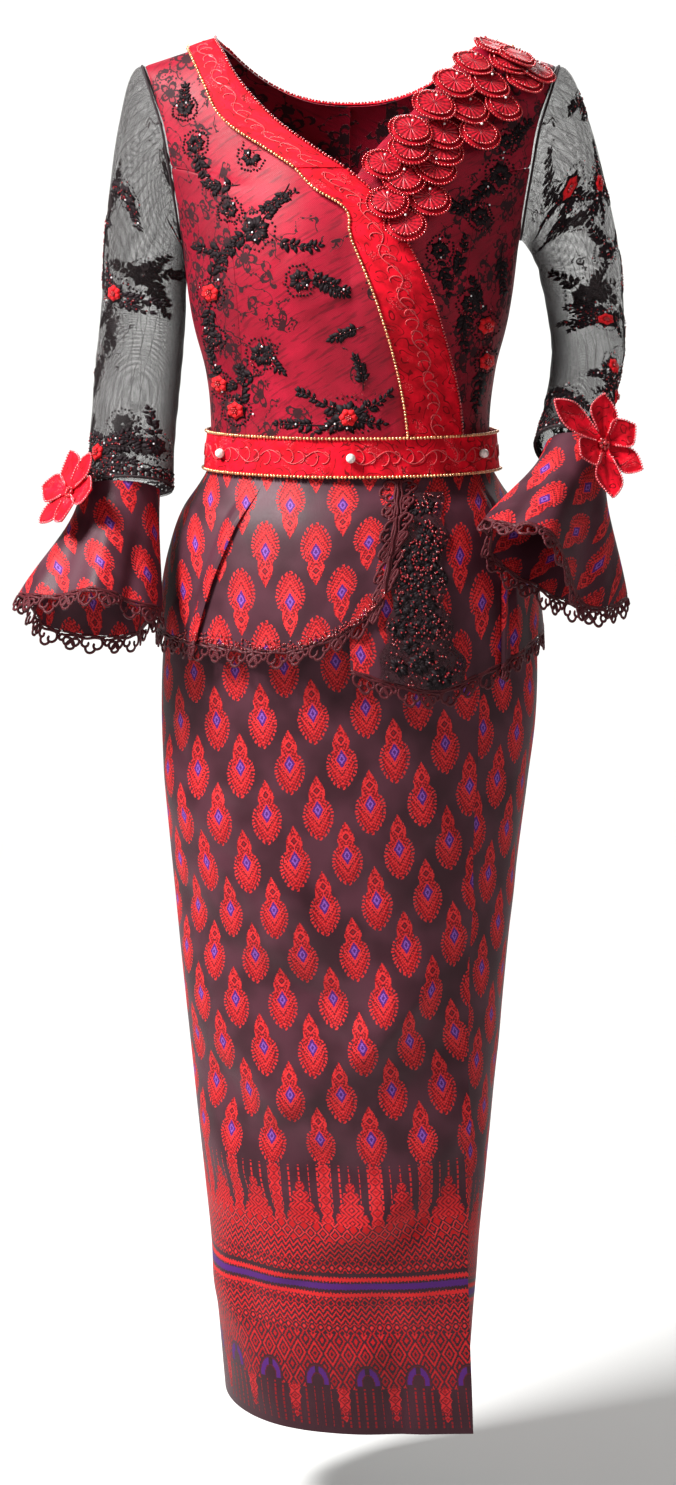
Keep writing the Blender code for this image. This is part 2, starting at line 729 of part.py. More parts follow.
def peplum_panel(name, hem, spread, pleats, finish, lap=None, columns=10):
    """One peplum panel. spread maps angles at the waist to angles at the hem, pleats add folds to it."""
    waist, low = np.array(spread, float).T
    plain = np.linspace(waist[0], waist[-1], columns)
    rows = [(w, np.interp(w, waist, low), 0.0) for w in plain]
    for at, way in pleats:
        hem_at = np.interp(at, waist, low)
        rows = [r for r in rows if abs(r[0] - at) > 3.6] + pleat_columns(at, hem_at, way)
        rows.append((at - 6.0 * way, np.interp(at - 6.0 * way, waist, low), PLEAT["lift"] * 0.7))
    top, bottom, lift = np.array(sorted(rows)).T
    shares = np.array([0.0, 0.0, 0.12, 0.28, 0.46, 0.64, 0.82, 1.0])[:, None]
    yoke = -BELT_HALF - 0.0015
    heights = yoke + (along(hem, "hem_height", bottom) - yoke) * shares
    heights[0] = -SEAM / 2
    angles = top + (bottom - top) * ease(shares, -0.5, 1.25)
    trim = math.degrees(SEAM / 2 / 0.14)
    angles[:, 0] += trim
    angles[:, -1] -= trim
    out = lift * ease(shares, 0.0, 0.30)
    if lap is not None:
        out = out + lap(ring(PEPLUM, np.radians(angles), heights)[..., 0])
    outer, facing = body_wall(name, lambda a, h: ring(PEPLUM, a, h), np.radians(angles), heights,
                              finish, BROCADE, out, level=True)
    under = [i for i in range(len(top)) if any(-0.5 < (top[i] - at) * way < 1.5 for at, way in pleats)]
    shown = [i for i in range(len(top)) if i not in under]
    return outer, facing, unit(outer[-1] - outer[-2]), shown


def peplum(brocade, cutwork, lace):
    """The peplum's three panels, the cutwork along their free edges, and the lace laid on the left one."""
    outer, facing, down, shown = peplum_panel(
        "peplum_front_right", HEM_RIGHT, [(-90, -90), (-30, -50), (21, 9)], [(-30, 1)], brocade,
        front_lap, 12)
    edging("peplum_edging_right", outer[-1][shown], facing[-1][shown], down[shown], cutwork)
    column, turned = outer[1:, -1], facing[1:, -1]
    sideways = unit(outer[1:, -1] - outer[1:, -2])
    column = column.copy()
    column[0] = column[0] * (1, 1, 0) + np.array([0, 0, -BELT_HALF - 0.0012])
    edging("peplum_edging_front", column, turned, sideways, cutwork)

    outer, facing, down, shown = peplum_panel(
        "peplum_front_left", HEM_LEFT, [(-3, 0), (58, 46), (90, 90)], [(58, -1)], brocade, None, 11)
    edging("peplum_edging_left", outer[-1][shown], facing[-1][shown], down[shown], cutwork)
    lace_patch(outer, facing, lace)

    outer, facing, down, shown = peplum_panel(
        "peplum_back", HEM_BACK, [(90, 90), (135, 128), (225, 232), (270, 270)],
        [(142, -1), (218, 1)], brocade, None, 17)
    edging("peplum_edging_back", outer[-1][shown], facing[-1][shown], down[shown], cutwork)


def lace_patch(outer, facing, finish):
    """Black lace laid on the left panel beside the crossing edge, made from the panel's own points."""
    first, last = 3, 6
    grid = (outer + facing * 0.0020)[2:, first:last + 1].copy()
    sway = np.linspace(0, 1, len(grid))
    grid[:, 0] += (grid[:, 1] - grid[:, 0]) * (0.55 - 0.5 * sway)[:, None]
    grid[:, -1] += (grid[:, -2] - grid[:, -1]) * (0.6 - 0.5 * ease(sway, 0.4, 0.9))[:, None]
    grid[0] += (grid[1] - grid[0]) * 0.3
    wall("peplum_lace", grid, grid - facing[2:, first:last + 1] * 0.0009, finish)


# Long soft folds of the skirt's front: from one point to another, as across and height, with width and depth.
FOLDS = table(
    "x0 z0 x1 z1 width depth",
    (-0.150, -0.300, -0.040, -0.420, 0.030, 0.0045),
    (-0.140, -0.420, 0.040, -0.500, 0.034, -0.0045),
    (0.080, -0.430, -0.060, -0.580, 0.032, 0.0055),
    (-0.130, -0.560, 0.010, -0.640, 0.030, -0.0050),
    (0.090, -0.620, -0.050, -0.720, 0.030, 0.0045),
    (-0.110, -0.700, -0.070, -0.860, 0.024, 0.0040),
    (0.020, -0.760, 0.040, -0.880, 0.026, -0.0040),
)
WRAP_EDGE = table(
    "height angle forward sideways",
    (-0.020, 52, 0.000, 0.000),
    (-0.170, 42, 0.000, 0.000),
    (-0.380, 44, 0.002, 0.001),
    (-0.555, 47, 0.010, 0.005),
    (-0.750, 49, 0.026, 0.015),
    (-0.900, 50, 0.042, 0.027),
)


def fold_depth(points):
    """The push in or out of the skirt's folds, at points of its front."""
    x, z = points[..., 0], points[..., 2]
    total = np.zeros(x.shape)
    for x0, z0, x1, z1, width, depth in zip(*FOLDS.values()):
        length2 = (x1 - x0) ** 2 + (z1 - z0) ** 2
        t = np.clip(((x - x0) * (x1 - x0) + (z - z0) * (z1 - z0)) / length2, 0, 1)
        far2 = (x - x0 - t * (x1 - x0)) ** 2 + (z - z0 - t * (z1 - z0)) ** 2
        total += depth * np.exp(-far2 / width**2)
    return total


def wrap_front(angle, height):
    """The skirt's front surface: its free edge swings forwards and sideways towards the hem."""
    points = ring(SKIRT, angle, height)
    edge = np.radians(along(WRAP_EDGE, "angle", height))
    reach = np.clip(angle / edge, 0, 1) ** 2
    points[..., 0] += reach * along(WRAP_EDGE, "sideways", height)
    points[..., 1] -= reach * along(WRAP_EDGE, "forward", height)
    return points


def skirt(brocade, plain):
    """The sampot: the front laps over the left panel, the back closes it, and a waistband holds them."""
    heights = -np.array([SKIRT_TOP + SEAM, 0.05, 0.09, 0.135, 0.18, 0.235, 0.29, 0.345, 0.40, 0.455,
                         0.51, 0.57, 0.63, 0.69, 0.75, 0.81, SKIRT_HEM])[:, None]
    quarter, trim = math.pi / 2, SEAM / 2 / 0.15
    edge = np.radians(along(WRAP_EDGE, "angle", heights))
    shares = np.linspace(0, 1, 13)
    angles = (-quarter + trim) * (1 - shares) + edge * shares
    lap = 0.0034 * ease(angles, math.radians(-12), math.radians(14)) * ease(-heights, 0.0, 0.06)
    folds = fold_depth(wrap_front(angles, heights)) * ease(angles, -quarter, math.radians(-65))
    body_wall("skirt_front", wrap_front, angles, heights, brocade, BROCADE, lap + folds, level=True)

    levels = heights[[0, 1, 2, 4, 5, 7, 9, 11, 13, 14, 16]]
    shares = np.linspace(0, 1, 6)
    angles = np.radians(26) * (1 - shares) + (quarter - trim) * shares + np.zeros((len(levels), 1))
    tuck = 0.0060 * ease(angles, 1.35, 0.8) * ease(-levels, 0.0, 0.018)
    body_wall("skirt_left", lambda a, h: ring(SKIRT, a, h), angles, levels, brocade, BROCADE, -tuck,
              level=True)

    angles = np.linspace(quarter + trim, 3 * quarter - trim, 14) + np.zeros((len(levels), 1))
    waves = 0.0030 * np.sin(angles * 6) * ease(-levels, 0.3, 0.8) * np.clip(np.abs(np.cos(angles)) * 3, 0, 1)
    body_wall("skirt_back", lambda a, h: ring(SKIRT, a, h), angles, levels, brocade, BROCADE, waves,
              level=True)

    angles = np.radians(np.arange(0, 360, STEP_ROUND))
    levels = np.array([-SKIRT_TOP, 0.015])[:, None]
    body_wall("skirt_waistband", torso, angles, levels, plain, out=-CLOTH - 0.0025, closed=True, level=True)


# The velvet scales on the left shoulder: where each is sewn on, its width and its turn in degrees. In
# millimetres: how much higher than the first layer it stands, and how high its sewn edge sits.
SCALES = table(
    "across height width turn rise seat",
    (0.1250, 0.3535, 0.036, -14, 0.0, 0.1),
    (0.1420, 0.3500, 0.034, -8, 4.4, 0.1),
    (0.1600, 0.3480, 0.034, -4, 0.0, 0.1),
    (0.1075, 0.3390, 0.036, -16, 0.0, 0.1),
    (0.1355, 0.3460, 0.035, -8, 0.0, 0.1),
    (0.148, 0.3370, 0.034, -2, 0.0, 0.1),
    (0.0905, 0.3230, 0.038, -14, 2.6, 0.1),
    (0.1191, 0.3270, 0.037, -8, 0.0, 0.1),
    (0.0720, 0.3050, 0.038, -12, 4.8, 0.1),
    (0.1006, 0.3050, 0.037, -8, 0.0, 0.1),
    (0.1280, 0.3095, 0.034, -2, 2.2, 0.1),
    (0.0515, 0.2850, 0.038, -10, 4.4, 0.1),
    (0.0780, 0.2850, 0.038, -6, 0.0, 0.1),
    (0.1073, 0.2855, 0.037, -2, 2.2, 0.1),
    (0.0491, 0.2695, 0.036, -6, 4.6, 0.1),
    (0.0774, 0.2715, 0.037, -4, 0.0, 0.1),
    (0.0290, 0.2590, 0.036, -8, 0.0, 0.1),
    (0.0699, 0.2565, 0.037, 0, 0.0, 0.1),
    (0.0441, 0.2470, 0.037, -4, 1.0, 0.1),
    (0.0640, 0.2320, 0.038, 2, 0.0, -1.3),
    (0.0300, 0.2270, 0.036, 0, 5.2, 0.1),
    (0.0440, 0.2095, 0.036, 2, 5.0, -0.7),
)
SCALE_SHAPE = {
    "length": 0.82,
    "thick": 0.0012,
    "root": 0.0028,
    "lift": 0.0090,
    "dome": 0.0008,
    "reach": 0.018,
}


def scales(finish):
    """The overlapping discs, each sewn on at its top edge with its lower edge standing off the cloth."""
    steps = np.linspace(-1, 1, 4)
    v, u = np.meshgrid(steps, steps, indexing="ij")
    disc_u, disc_v = u * np.sqrt(1 - v**2 / 2), v * np.sqrt(1 - u**2 / 2)
    rows = zip(*SCALES.values())
    for i, (across, height, width, turn, rise, seat) in enumerate(rows):
        place = torso(angle_at(across, height), height)
        below = height - SCALE_SHAPE["reach"]
        down = unit(torso(angle_at(across, below), below) - place)
        side = torso(angle_at(across + 0.004, below), below) - torso(angle_at(across - 0.004, below), below)
        side = unit(side - (side @ down) * down)
        facing = np.cross(down, side)
        angle = math.radians(turn)
        cos, sin = math.cos(angle), math.sin(angle)
        down, side = cos * down + sin * side, cos * side - sin * down
        half = width / 2
        half_long = half * SCALE_SHAPE["length"]
        hang = (disc_v + 1) / 2
        lift = SCALE_SHAPE["root"] + SCALE_SHAPE["lift"] * hang + rise / 1000
        lift = lift + SCALE_SHAPE["dome"] * (1 - np.maximum(u**2, v**2))
        sewn = (v < -0.9) & (np.abs(u - 0.33) < 0.2)
        lift = np.where(sewn, SCALE_SHAPE["thick"] + seat / 1000, lift)
        points = (place + side * (half * disc_u)[..., None] + down * (half_long * (disc_v + 1))[..., None]
                  + facing * lift[..., None])
        wall(f"scale_{i + 1:02d}", points, points - facing * SCALE_SHAPE["thick"], finish)


def main():
    for old in list(bpy.data.objects):
        bpy.data.objects.remove(old)
    satin = material("red satin under black lace", (0.42, 0.02, 0.05), 0.45)
    net = material("black lace net", (0.02, 0.015, 0.015), 0.6)
    brocade = material("brocade", (0.16, 0.05, 0.07), 0.45)
    cutwork = material("cutwork", (0.09, 0.02, 0.03), 0.6)
    velvet = material("red velvet", (0.75, 0.01, 0.02), 0.7)
    organza = material("red organza", (0.62, 0.02, 0.04), 0.45)
    pearl = material("pearl", (0.9, 0.85, 0.82), 0.2)
    lace = material("beaded lace", (0.03, 0.02, 0.02), 0.5)
    bodice_panels(satin)
    front_bands(velvet)
    back_neck_band(velvet)
    belt(velvet, pearl)
    sleeves_and_cuffs(net, brocade, cutwork, velvet)
    peplum(brocade, cutwork, lace)
    skirt(brocade, satin)
    scales(organza)


main()
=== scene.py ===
"""The looks of a Khmer traditional outfit: a blouse with a pleated peplum over a narrow wrapped sampot.

It is hollow, in the form it has when worn. Metres, +Z up, the front faces -Y, its right sleeve is at -X.
"""

import math
from functools import partial

import bpy
import numpy as np
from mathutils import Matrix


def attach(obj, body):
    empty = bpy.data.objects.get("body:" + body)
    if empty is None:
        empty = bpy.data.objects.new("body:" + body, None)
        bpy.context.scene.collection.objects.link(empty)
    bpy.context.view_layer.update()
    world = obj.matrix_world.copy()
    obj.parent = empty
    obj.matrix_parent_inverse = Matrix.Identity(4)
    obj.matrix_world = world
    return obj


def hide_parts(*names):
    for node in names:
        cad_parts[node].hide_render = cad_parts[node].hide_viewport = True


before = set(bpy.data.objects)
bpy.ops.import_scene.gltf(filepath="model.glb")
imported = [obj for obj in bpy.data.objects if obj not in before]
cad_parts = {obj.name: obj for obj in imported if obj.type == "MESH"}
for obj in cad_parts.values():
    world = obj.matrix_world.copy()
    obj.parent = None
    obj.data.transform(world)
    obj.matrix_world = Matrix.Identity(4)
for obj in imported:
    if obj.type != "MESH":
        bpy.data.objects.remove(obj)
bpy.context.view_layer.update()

# The room: a pale floor that curves up into a plain backdrop, soft studio light from large panels, and
# the camera at the photograph's height, looking slightly down.
FLOOR = -1.02
scene = bpy.context.scene
scene.view_settings.view_transform = "Standard"


def plain_finish(name, colour, roughness):
    """A pale matt finish with a faint uneven tone, for the floor and the backdrop."""
    made = bpy.data.materials.new(name)
    made.use_nodes = True
    nodes, links = made.node_tree.nodes, made.node_tree.links
    shader = nodes["Principled BSDF"]
    shader.inputs["Roughness"].default_value = roughness
    place = nodes.new("ShaderNodeTexCoord")
    cloud = nodes.new("ShaderNodeTexNoise")
    cloud.inputs["Scale"].default_value = 3.0
    tone = nodes.new("ShaderNodeMix")
    tone.data_type = "RGBA"
    tone.inputs["A"].default_value = (*colour, 1)
    tone.inputs["B"].default_value = (*[c * 0.96 for c in colour], 1)
    links.new(place.outputs["Object"], cloud.inputs["Vector"])
    links.new(cloud.outputs["Fac"], tone.inputs["Factor"])
    links.new(tone.outputs["Result"], shader.inputs["Base Color"])
    return made


def backdrop():
    """A sheet swept along X: flat floor, a quarter circle, then a wall, as one profile in Y and Z."""
    turn = np.linspace(0, math.pi / 2, 24)
    bend = np.stack([6.6 + 2 * np.sin(turn), FLOOR + 2 - 2 * np.cos(turn)], -1)
    profile = np.concatenate([[[-9.0, FLOOR]], bend, [[8.6, 6.0]]])
    rows = len(profile)
    points = np.concatenate([np.c_[np.full(rows, x), profile] for x in (-9.0, 9.0)])
    faces = [(i, rows + i, rows + i + 1, i + 1) for i in range(rows - 1)]
    mesh = bpy.data.meshes.new("backdrop")
    mesh.from_pydata(points.tolist(), [], faces)
    mesh.shade_smooth()
    mesh.materials.append(plain_finish("pale backdrop", (0.62, 0.62, 0.61), 0.9))
    made = bpy.data.objects.new("backdrop", mesh)
    scene.collection.objects.link(made)


backdrop()

camera = bpy.data.objects.new("camera", bpy.data.cameras.new("camera"))
camera.data.lens = 70
camera.data.sensor_width = 36
camera.data.clip_end = 50
camera.location = (-0.011, -2.6, 0.213)
camera.rotation_euler = (math.radians(79.5), 0, 0)
scene.collection.objects.link(camera)
scene.camera = camera

for name, place, aim, size, watts in (
    ("key", (-1.8, -0.95, 2.0), (0, 0, -0.25), 0.8, 275),
    ("fill", (1.7, -2.4, 0.9), (0, 0, 0.1), 1.2, 12),
    ("back", (0.9, 2.2, 1.8), (0, 0, -0.2), 1.8, 60),
    ("wall", (0.0, 4.6, 3.4), (0, 8.2, 0.4), 3.0, 380),
):
    lamp = bpy.data.objects.new(name, bpy.data.lights.new(name, "AREA"))
    lamp.data.size = size
    lamp.data.energy = watts
    lamp.location = place
    way = np.array(aim, float) - np.array(place)
    lamp.rotation_euler = (math.acos(-way[2] / np.linalg.norm(way)), 0, math.atan2(-way[0], way[1]))
    scene.collection.objects.link(lamp)
world = bpy.data.worlds.new("studio")
world.use_nodes = True
world.node_tree.nodes["Background"].inputs["Color"].default_value = (1.0, 0.99, 0.97, 1)
world.node_tree.nodes["Background"].inputs["Strength"].default_value = 0.2
scene.world = world


# The blouse's body: six panels of red satin covered with fine black net, sewn with princess seams. The
# fronts cross, and the right one lies over the left. The net pulls into fine slanting creases.
SATIN_SHELL = 0.0009
SHOULDER, SHOULDER_DROP, BACK_NECK = 0.355, 0.02, 0.302
NECK_HALF, TIP_HALF, ARMPIT = 0.118, 0.18, 0.185
PRINCESS_TOP, LAP_UNDER, LAP, SEAM = 0.2488, -0.022, 0.0034, 0.0003
# Radii that turn angles round the body into lengths and back; how wide and how deep a seam's edge rolls in.
GIRTH, SEAM_GIRTH = 0.135, 0.13
ROLL_WIDE, ROLL_DEEP = 0.0022, 0.0006


def table(names, *rows):
    """A table with named columns, as one array for each name."""
    return dict(zip(names.split(), np.array(rows, float).T))


BODY = table(
    "height half_width front back", (-0.02, 0.1285, 0.0985, 0.0915), (0.0, 0.1255, 0.0955, 0.0885),
    (0.026, 0.125, 0.0955, 0.0885), (0.068, 0.129, 0.1, 0.092), (0.102, 0.1375, 0.106, 0.0985),
    (0.135, 0.144, 0.11, 0.106), (0.185, 0.15, 0.111, 0.115), (0.22, 0.16, 0.11, 0.119),
    (0.26, 0.173, 0.108, 0.119), (0.3, 0.186, 0.106, 0.116), (0.355, 0.2, 0.104, 0.112),
)
BUST = {"across": 0.078, "height": 0.158, "round": 0.058, "depth": 0.013}
ARMHOLE = table(
    "height across", (0.185, 0.15), (0.2, 0.1508), (0.22, 0.153), (0.25, 0.157), (0.285, 0.162),
    (0.32, 0.171), (0.355, 0.18),
)
PRINCESS = table(
    "height across", (0.0, 0.091), (0.05, 0.093), (0.1, 0.096), (0.143, 0.099), (0.18, 0.103),
    (0.208, 0.108), (0.226, 0.114), (0.236, 0.12), (0.243, 0.134), (0.2488, 0.1556),
)
CROSS_EDGE = table(
    "height across", (0.0, 0.0945), (0.05, 0.09), (0.108, 0.077), (0.14, 0.067), (0.167, 0.0554),
    (0.194, 0.041), (0.223, 0.0198), (0.242, -0.0029), (0.2565, -0.0256), (0.2773, -0.0556),
    (0.302, -0.0823), (0.3275, -0.1029), (0.343, -0.111), (0.355, -0.118),
)
LEFT_NECK = table(
    "height across", (0.236, 0.003), (0.25, 0.012), (0.265, 0.024), (0.285, 0.044), (0.3, 0.06),
    (0.32, 0.08), (0.338, 0.098), (0.355, 0.118),
)
# Creases of the fronts and the back: from one place to another on the cloth, how wide and how deep.
BODY_CREASES = table(
    "u0 v0 u1 v1 width depth", (-0.07, 0.15, 0.02, 0.215, 0.005, -0.001),
    (-0.085, 0.12, 0.04, 0.18, 0.0045, 0.0009), (-0.06, 0.095, 0.05, 0.15, 0.0055, -0.001),
    (-0.09, 0.205, -0.02, 0.24, 0.0045, -0.0009), (-0.095, 0.06, -0.02, 0.095, 0.006, 0.0009),
    (-0.06, 0.03, 0.03, 0.062, 0.006, -0.001), (0.02, 0.02, 0.06, 0.08, 0.006, 0.0008),
    (-0.125, 0.25, -0.065, 0.232, 0.0055, -0.001), (-0.15, 0.09, -0.11, 0.12, 0.006, -0.0012),
    (-0.16, 0.05, -0.11, 0.062, 0.006, -0.001), (0.11, 0.11, 0.16, 0.085, 0.006, -0.0012),
    (0.105, 0.06, 0.165, 0.045, 0.006, -0.001), (0.075, 0.225, 0.13, 0.245, 0.006, -0.0009),
    (0.1, 0.15, 0.15, 0.18, 0.006, 0.0008), (0.3, 0.03, 0.38, 0.045, 0.008, -0.0014),
    (0.29, 0.062, 0.36, 0.058, 0.007, 0.001), (0.24, 0.15, 0.3, 0.18, 0.008, -0.0012),
    (-0.3, 0.035, -0.37, 0.05, 0.008, -0.0014), (-0.25, 0.16, -0.31, 0.19, 0.008, -0.0012),
    (0.33, 0.23, 0.4, 0.21, 0.009, 0.001), (-0.33, 0.24, -0.4, 0.215, 0.009, 0.001),
)


def along(rows, name, at):
    """The smooth curve through one column of a table, read at places along its first column."""
    xs, ys = next(iter(rows.values())), rows[name]
    if xs[0] > xs[-1]:
        xs, ys = xs[::-1], ys[::-1]
    at = np.clip(np.asarray(at, float), xs[0], xs[-1])
    slopes = np.gradient(ys, xs)
    i = np.clip(np.searchsorted(xs, at) - 1, 0, len(xs) - 2)
    gap = xs[i + 1] - xs[i]
    t = (at - xs[i]) / gap
    start = (1 + 2 * t) * (1 - t) ** 2 * ys[i] + t * (1 - t) ** 2 * gap * slopes[i]
    end = t * t * (3 - 2 * t) * ys[i + 1] + t * t * (t - 1) * gap * slopes[i + 1]
    return start + end


def ease(value, start, end):
    """0 before start and 1 after end, smooth between them."""
    t = np.clip((np.asarray(value, float) - start) / (end - start), 0, 1)
    return t * t * (3 - 2 * t)


def unit(vectors):
    """The vectors brought to length 1."""
    return vectors / np.maximum(np.linalg.norm(vectors, axis=-1, keepdims=True), 1e-12)


def torso(angle, height):
    """The blouse's outer face: an ellipse at each height, with the bust swelling forwards as two bells.

    Above the armpit the depth shrinks to nothing at the shoulder seam, which slopes down outwards.
    """
    angle, height = np.broadcast_arrays(np.asarray(angle, float), np.asarray(height, float))
    rise = np.clip((height - ARMPIT) / (SHOULDER - ARMPIT), 0, 1)
    across = along(BODY, "half_width", height) * np.sin(angle)
    facing = np.cos(angle)
    front = along(BODY, "front", height) * np.sqrt(1 - rise**1.5)
    back = along(BODY, "back", height) * np.sqrt(1 - rise**2.2)
    y = -np.where(facing > 0, front, back) * facing - np.sign(facing) * SEAM / 2
    spot = ((np.abs(across) - BUST["across"]) ** 2 + (height - BUST["height"]) ** 2) / BUST["round"] ** 2
    y = y - BUST["depth"] * np.exp(-spot) * np.clip(facing, 0, 1)
    outwards = (np.abs(across) - NECK_HALF) / (TIP_HALF - NECK_HALF)
    z = height - SHOULDER_DROP * rise**2 * np.clip(outwards, -0.15, 1.1)
    return np.stack([across, y, z], axis=-1)


def angle_at(across, height):
    """The angle from the centre front at which the torso is that far across."""
    return np.arcsin(np.clip(across / along(BODY, "half_width", height), -1, 1))


def front_lap(across):
    """How far the right front stands out where it lies over the left front."""
    return LAP * ease(across, -0.085, -0.035)


def facing_of(surface, angle, height, level=False):
    """The way that a surface faces, found from points close by. At the shoulder seam it is straight up."""
    angle, height = np.broadcast_arrays(np.asarray(angle, float), np.asarray(height, float))
    near, step = np.minimum(height, SHOULDER - 0.002), 0.001
    across = surface(angle + step, near) - surface(angle - step, near)
    rise = surface(angle, near + step) - surface(angle, near - step)
    facing = np.cross(across, rise)
    facing[height > SHOULDER - 1e-6] = (0, 0, 1)
    return unit(facing * (1, 1, 0)) if level else unit(facing)


def creases(rows, u, v):
    """The push in or out of a table of soft troughs and ridges, at places u and v. Each is uneven along its
    length and steeper on one side."""
    total = np.zeros(np.broadcast(u, v).shape)
    for i, (u0, v0, u1, v1, width, depth) in enumerate(zip(*rows.values())):
        length2 = (u1 - u0) ** 2 + (v1 - v0) ** 2
        t = np.clip(((u - u0) * (u1 - u0) + (v - v0) * (v1 - v0)) / length2, 0, 1)
        bow = 0.1 * math.sqrt(length2) * np.sin(math.pi * t) * (1 if i % 2 else -1)
        du, dv = u - u0 - t * (u1 - u0), v - v0 - t * (v1 - v0)
        side = (du * (v1 - v0) - dv * (u1 - u0)) / math.sqrt(length2)
        crisp = np.where(side < bow, 0.62, 1.15)
        far2 = du**2 + dv**2 - side**2 + ((side - bow) / crisp) ** 2
        uneven = 0.65 + 0.35 * np.sin(9 * t + 2.1 * i)
        total += depth * uneven * np.sin(math.pi * np.clip(t, 0.06, 0.94)) ** 0.5 * np.exp(-far2 / width**2)
    return total


def ripple(u, v, size, seed):
    """Soft uneven waves of about one size, as a sum of five sines in different directions."""
    total = np.zeros(np.broadcast(u, v).shape)
    for k in range(5):
        turn = seed * 1.7 + k * 2.4
        wave = 2 * math.pi / (size * (0.7 + 0.17 * k))
        total += np.sin((u * math.cos(turn) + v * math.sin(turn)) * wave + seed * 3.1 + k * 1.3) / 3.2
    return total


def body_at(angle, height, out=0.0):
    """A point on the blouse's body with its creases, moved out by a given amount."""
    u = np.asarray(angle) * GIRTH
    push = creases(BODY_CREASES, u, height) + 0.00035 * ripple(u, height, 0.045, 2)
    push = push * ease(height, SHOULDER, SHOULDER - 0.02) * ease(height, 0.0, 0.02)
    return torso(angle, height) + facing_of(torso, angle, height) * np.asarray(out + push)[..., None]


class Wire:
    """One socket of a material's nodes. Arithmetic on it adds Math nodes."""

    def __init__(self, tree, socket=None):
        self.tree = tree
        self.socket = socket

    def node(self, kind, inputs=(), out=0, stops=None, **settings):
        """Adds a node of a kind, with its settings, and links or sets its inputs by number or name."""
        made = self.tree.nodes.new(kind)
        for name, value in settings.items():
            setattr(made, name, value)
        if stops:
            ramp = made.color_ramp
            while len(ramp.elements) < len(stops):
                ramp.elements.new(0.5)
            for element, (place, colour) in zip(ramp.elements, stops):
                element.position = place
                element.color = (*colour, 1)
        pairs = inputs.items() if isinstance(inputs, dict) else enumerate(inputs)
        for key, value in pairs:
            if isinstance(value, Wire):
                self.tree.links.new(value.socket, made.inputs[key])
            elif value is not None:
                made.inputs[key].default_value = value
        return Wire(self.tree, made.outputs[out])

    def math(self, operation, *values):
        return self.node("ShaderNodeMath", values, operation=operation)

    def __add__(self, other):
        return self.math("ADD", self, other)

    def __sub__(self, other):
        return self.math("SUBTRACT", self, other)

    def __rsub__(self, other):
        return self.math("SUBTRACT", other, self)

    def __mul__(self, other):
        return self.math("MULTIPLY", self, other)

    def __truediv__(self, other):
        return self.math("DIVIDE", self, other)

    def __lt__(self, other):
        return self.math("LESS_THAN", self, other)

    def __gt__(self, other):
        return self.math("GREATER_THAN", self, other)

    __radd__ = __add__

    def size(self):
        return self.math("ABSOLUTE", self)

    def low(self):
        return self.math("FLOOR", self)

    def part(self):
        return self.math("FRACT", self)

    def sine(self):
        return self.math("SINE", self)

    def fold(self):
        """A zigzag: 0 at the middle of each whole step, and a half at its ends."""
        return (self.part() - 0.5).size()

    def power(self, value):
        return self.math("POWER", self, value)

    def least(self, other):
        return self.math("MINIMUM", self, other)

    def most(self, other):
        return self.math("MAXIMUM", self, other)

    def between(self, low, high):
        """1 from low to high, and 0 outside."""
        return (self > low) * (self < high)

    def soft(self, start, end):
        """0 before start and 1 after end, smooth between them."""
        return self.node("ShaderNodeMapRange", [self, start, end, 0, 1], interpolation_type="SMOOTHSTEP")

    def mix(self, first, second):
        """The first colour where this is 0 and the second where it is 1."""
        inputs = {"Factor": self}
        for key, value in (("A", first), ("B", second)):
            inputs[key] = value if isinstance(value, Wire) else (*value, 1)
        made = self.node("ShaderNodeMix", data_type="RGBA")
        node = made.socket.node
        for key, value in inputs.items():
            socket = next(s for s in node.inputs if s.name == key and s.enabled)
            if isinstance(value, Wire):
                self.tree.links.new(value.socket, socket)
            else:
                socket.default_value = value
        return Wire(self.tree, next(s for s in node.outputs if s.enabled))

    def noise(self, scale, detail=2.0, rough=0.5):
        """Noise at this place, from 0 to 1."""
        return self.node("ShaderNodeTexNoise", {"Vector": self, "Scale": scale, "Detail": detail,
                                                "Roughness": rough})

    def place(self, *parts):
        return self.node("ShaderNodeCombineXYZ", parts)


def finish(name, **fixed):
    """A new material with fixed values on its shader: the material, a start for wires, and feed for links."""
    made = bpy.data.materials.new(name)
    made.use_nodes = True
    tree = made.node_tree
    shader = tree.nodes["Principled BSDF"]
    for key, value in fixed.items():
        shader.inputs[key.replace("_", " ")].default_value = value
    start = Wire(tree)

    def feed(**values):
        """Links wires to the shader's inputs, by their names."""
        for key, value in values.items():
            tree.links.new(value.socket, shader.inputs[key.replace("_", " ")])

    return made, start, feed


def cloth_place(start):
    """The place on the flat cloth in millimetres, from the piece's own map."""
    spot = start.node("ShaderNodeUVMap", uv_map="cloth")
    parts = spot.node("ShaderNodeSeparateXYZ", [spot])
    u = parts * 1000
    v = Wire(start.tree, parts.socket.node.outputs[1]) * 1000
    return u, v


def bump(start, height, distance, strength):
    """The normals of a relief whose height goes from 0 to 1 over a distance in metres."""
    return start.node("ShaderNodeBump", {"Height": height, "Distance": distance, "Strength": strength})


def net_threads(u, v, cell, width):
    """1 on the threads of a diamond net with cells of one size, and 0 in its gaps."""
    one = ((u + v) / cell).part() - 0.5
    two = ((u - v) / cell).part() - 0.5
    return 1 - one.size().least(two.size()).soft(width * 0.6, width * 1.4)


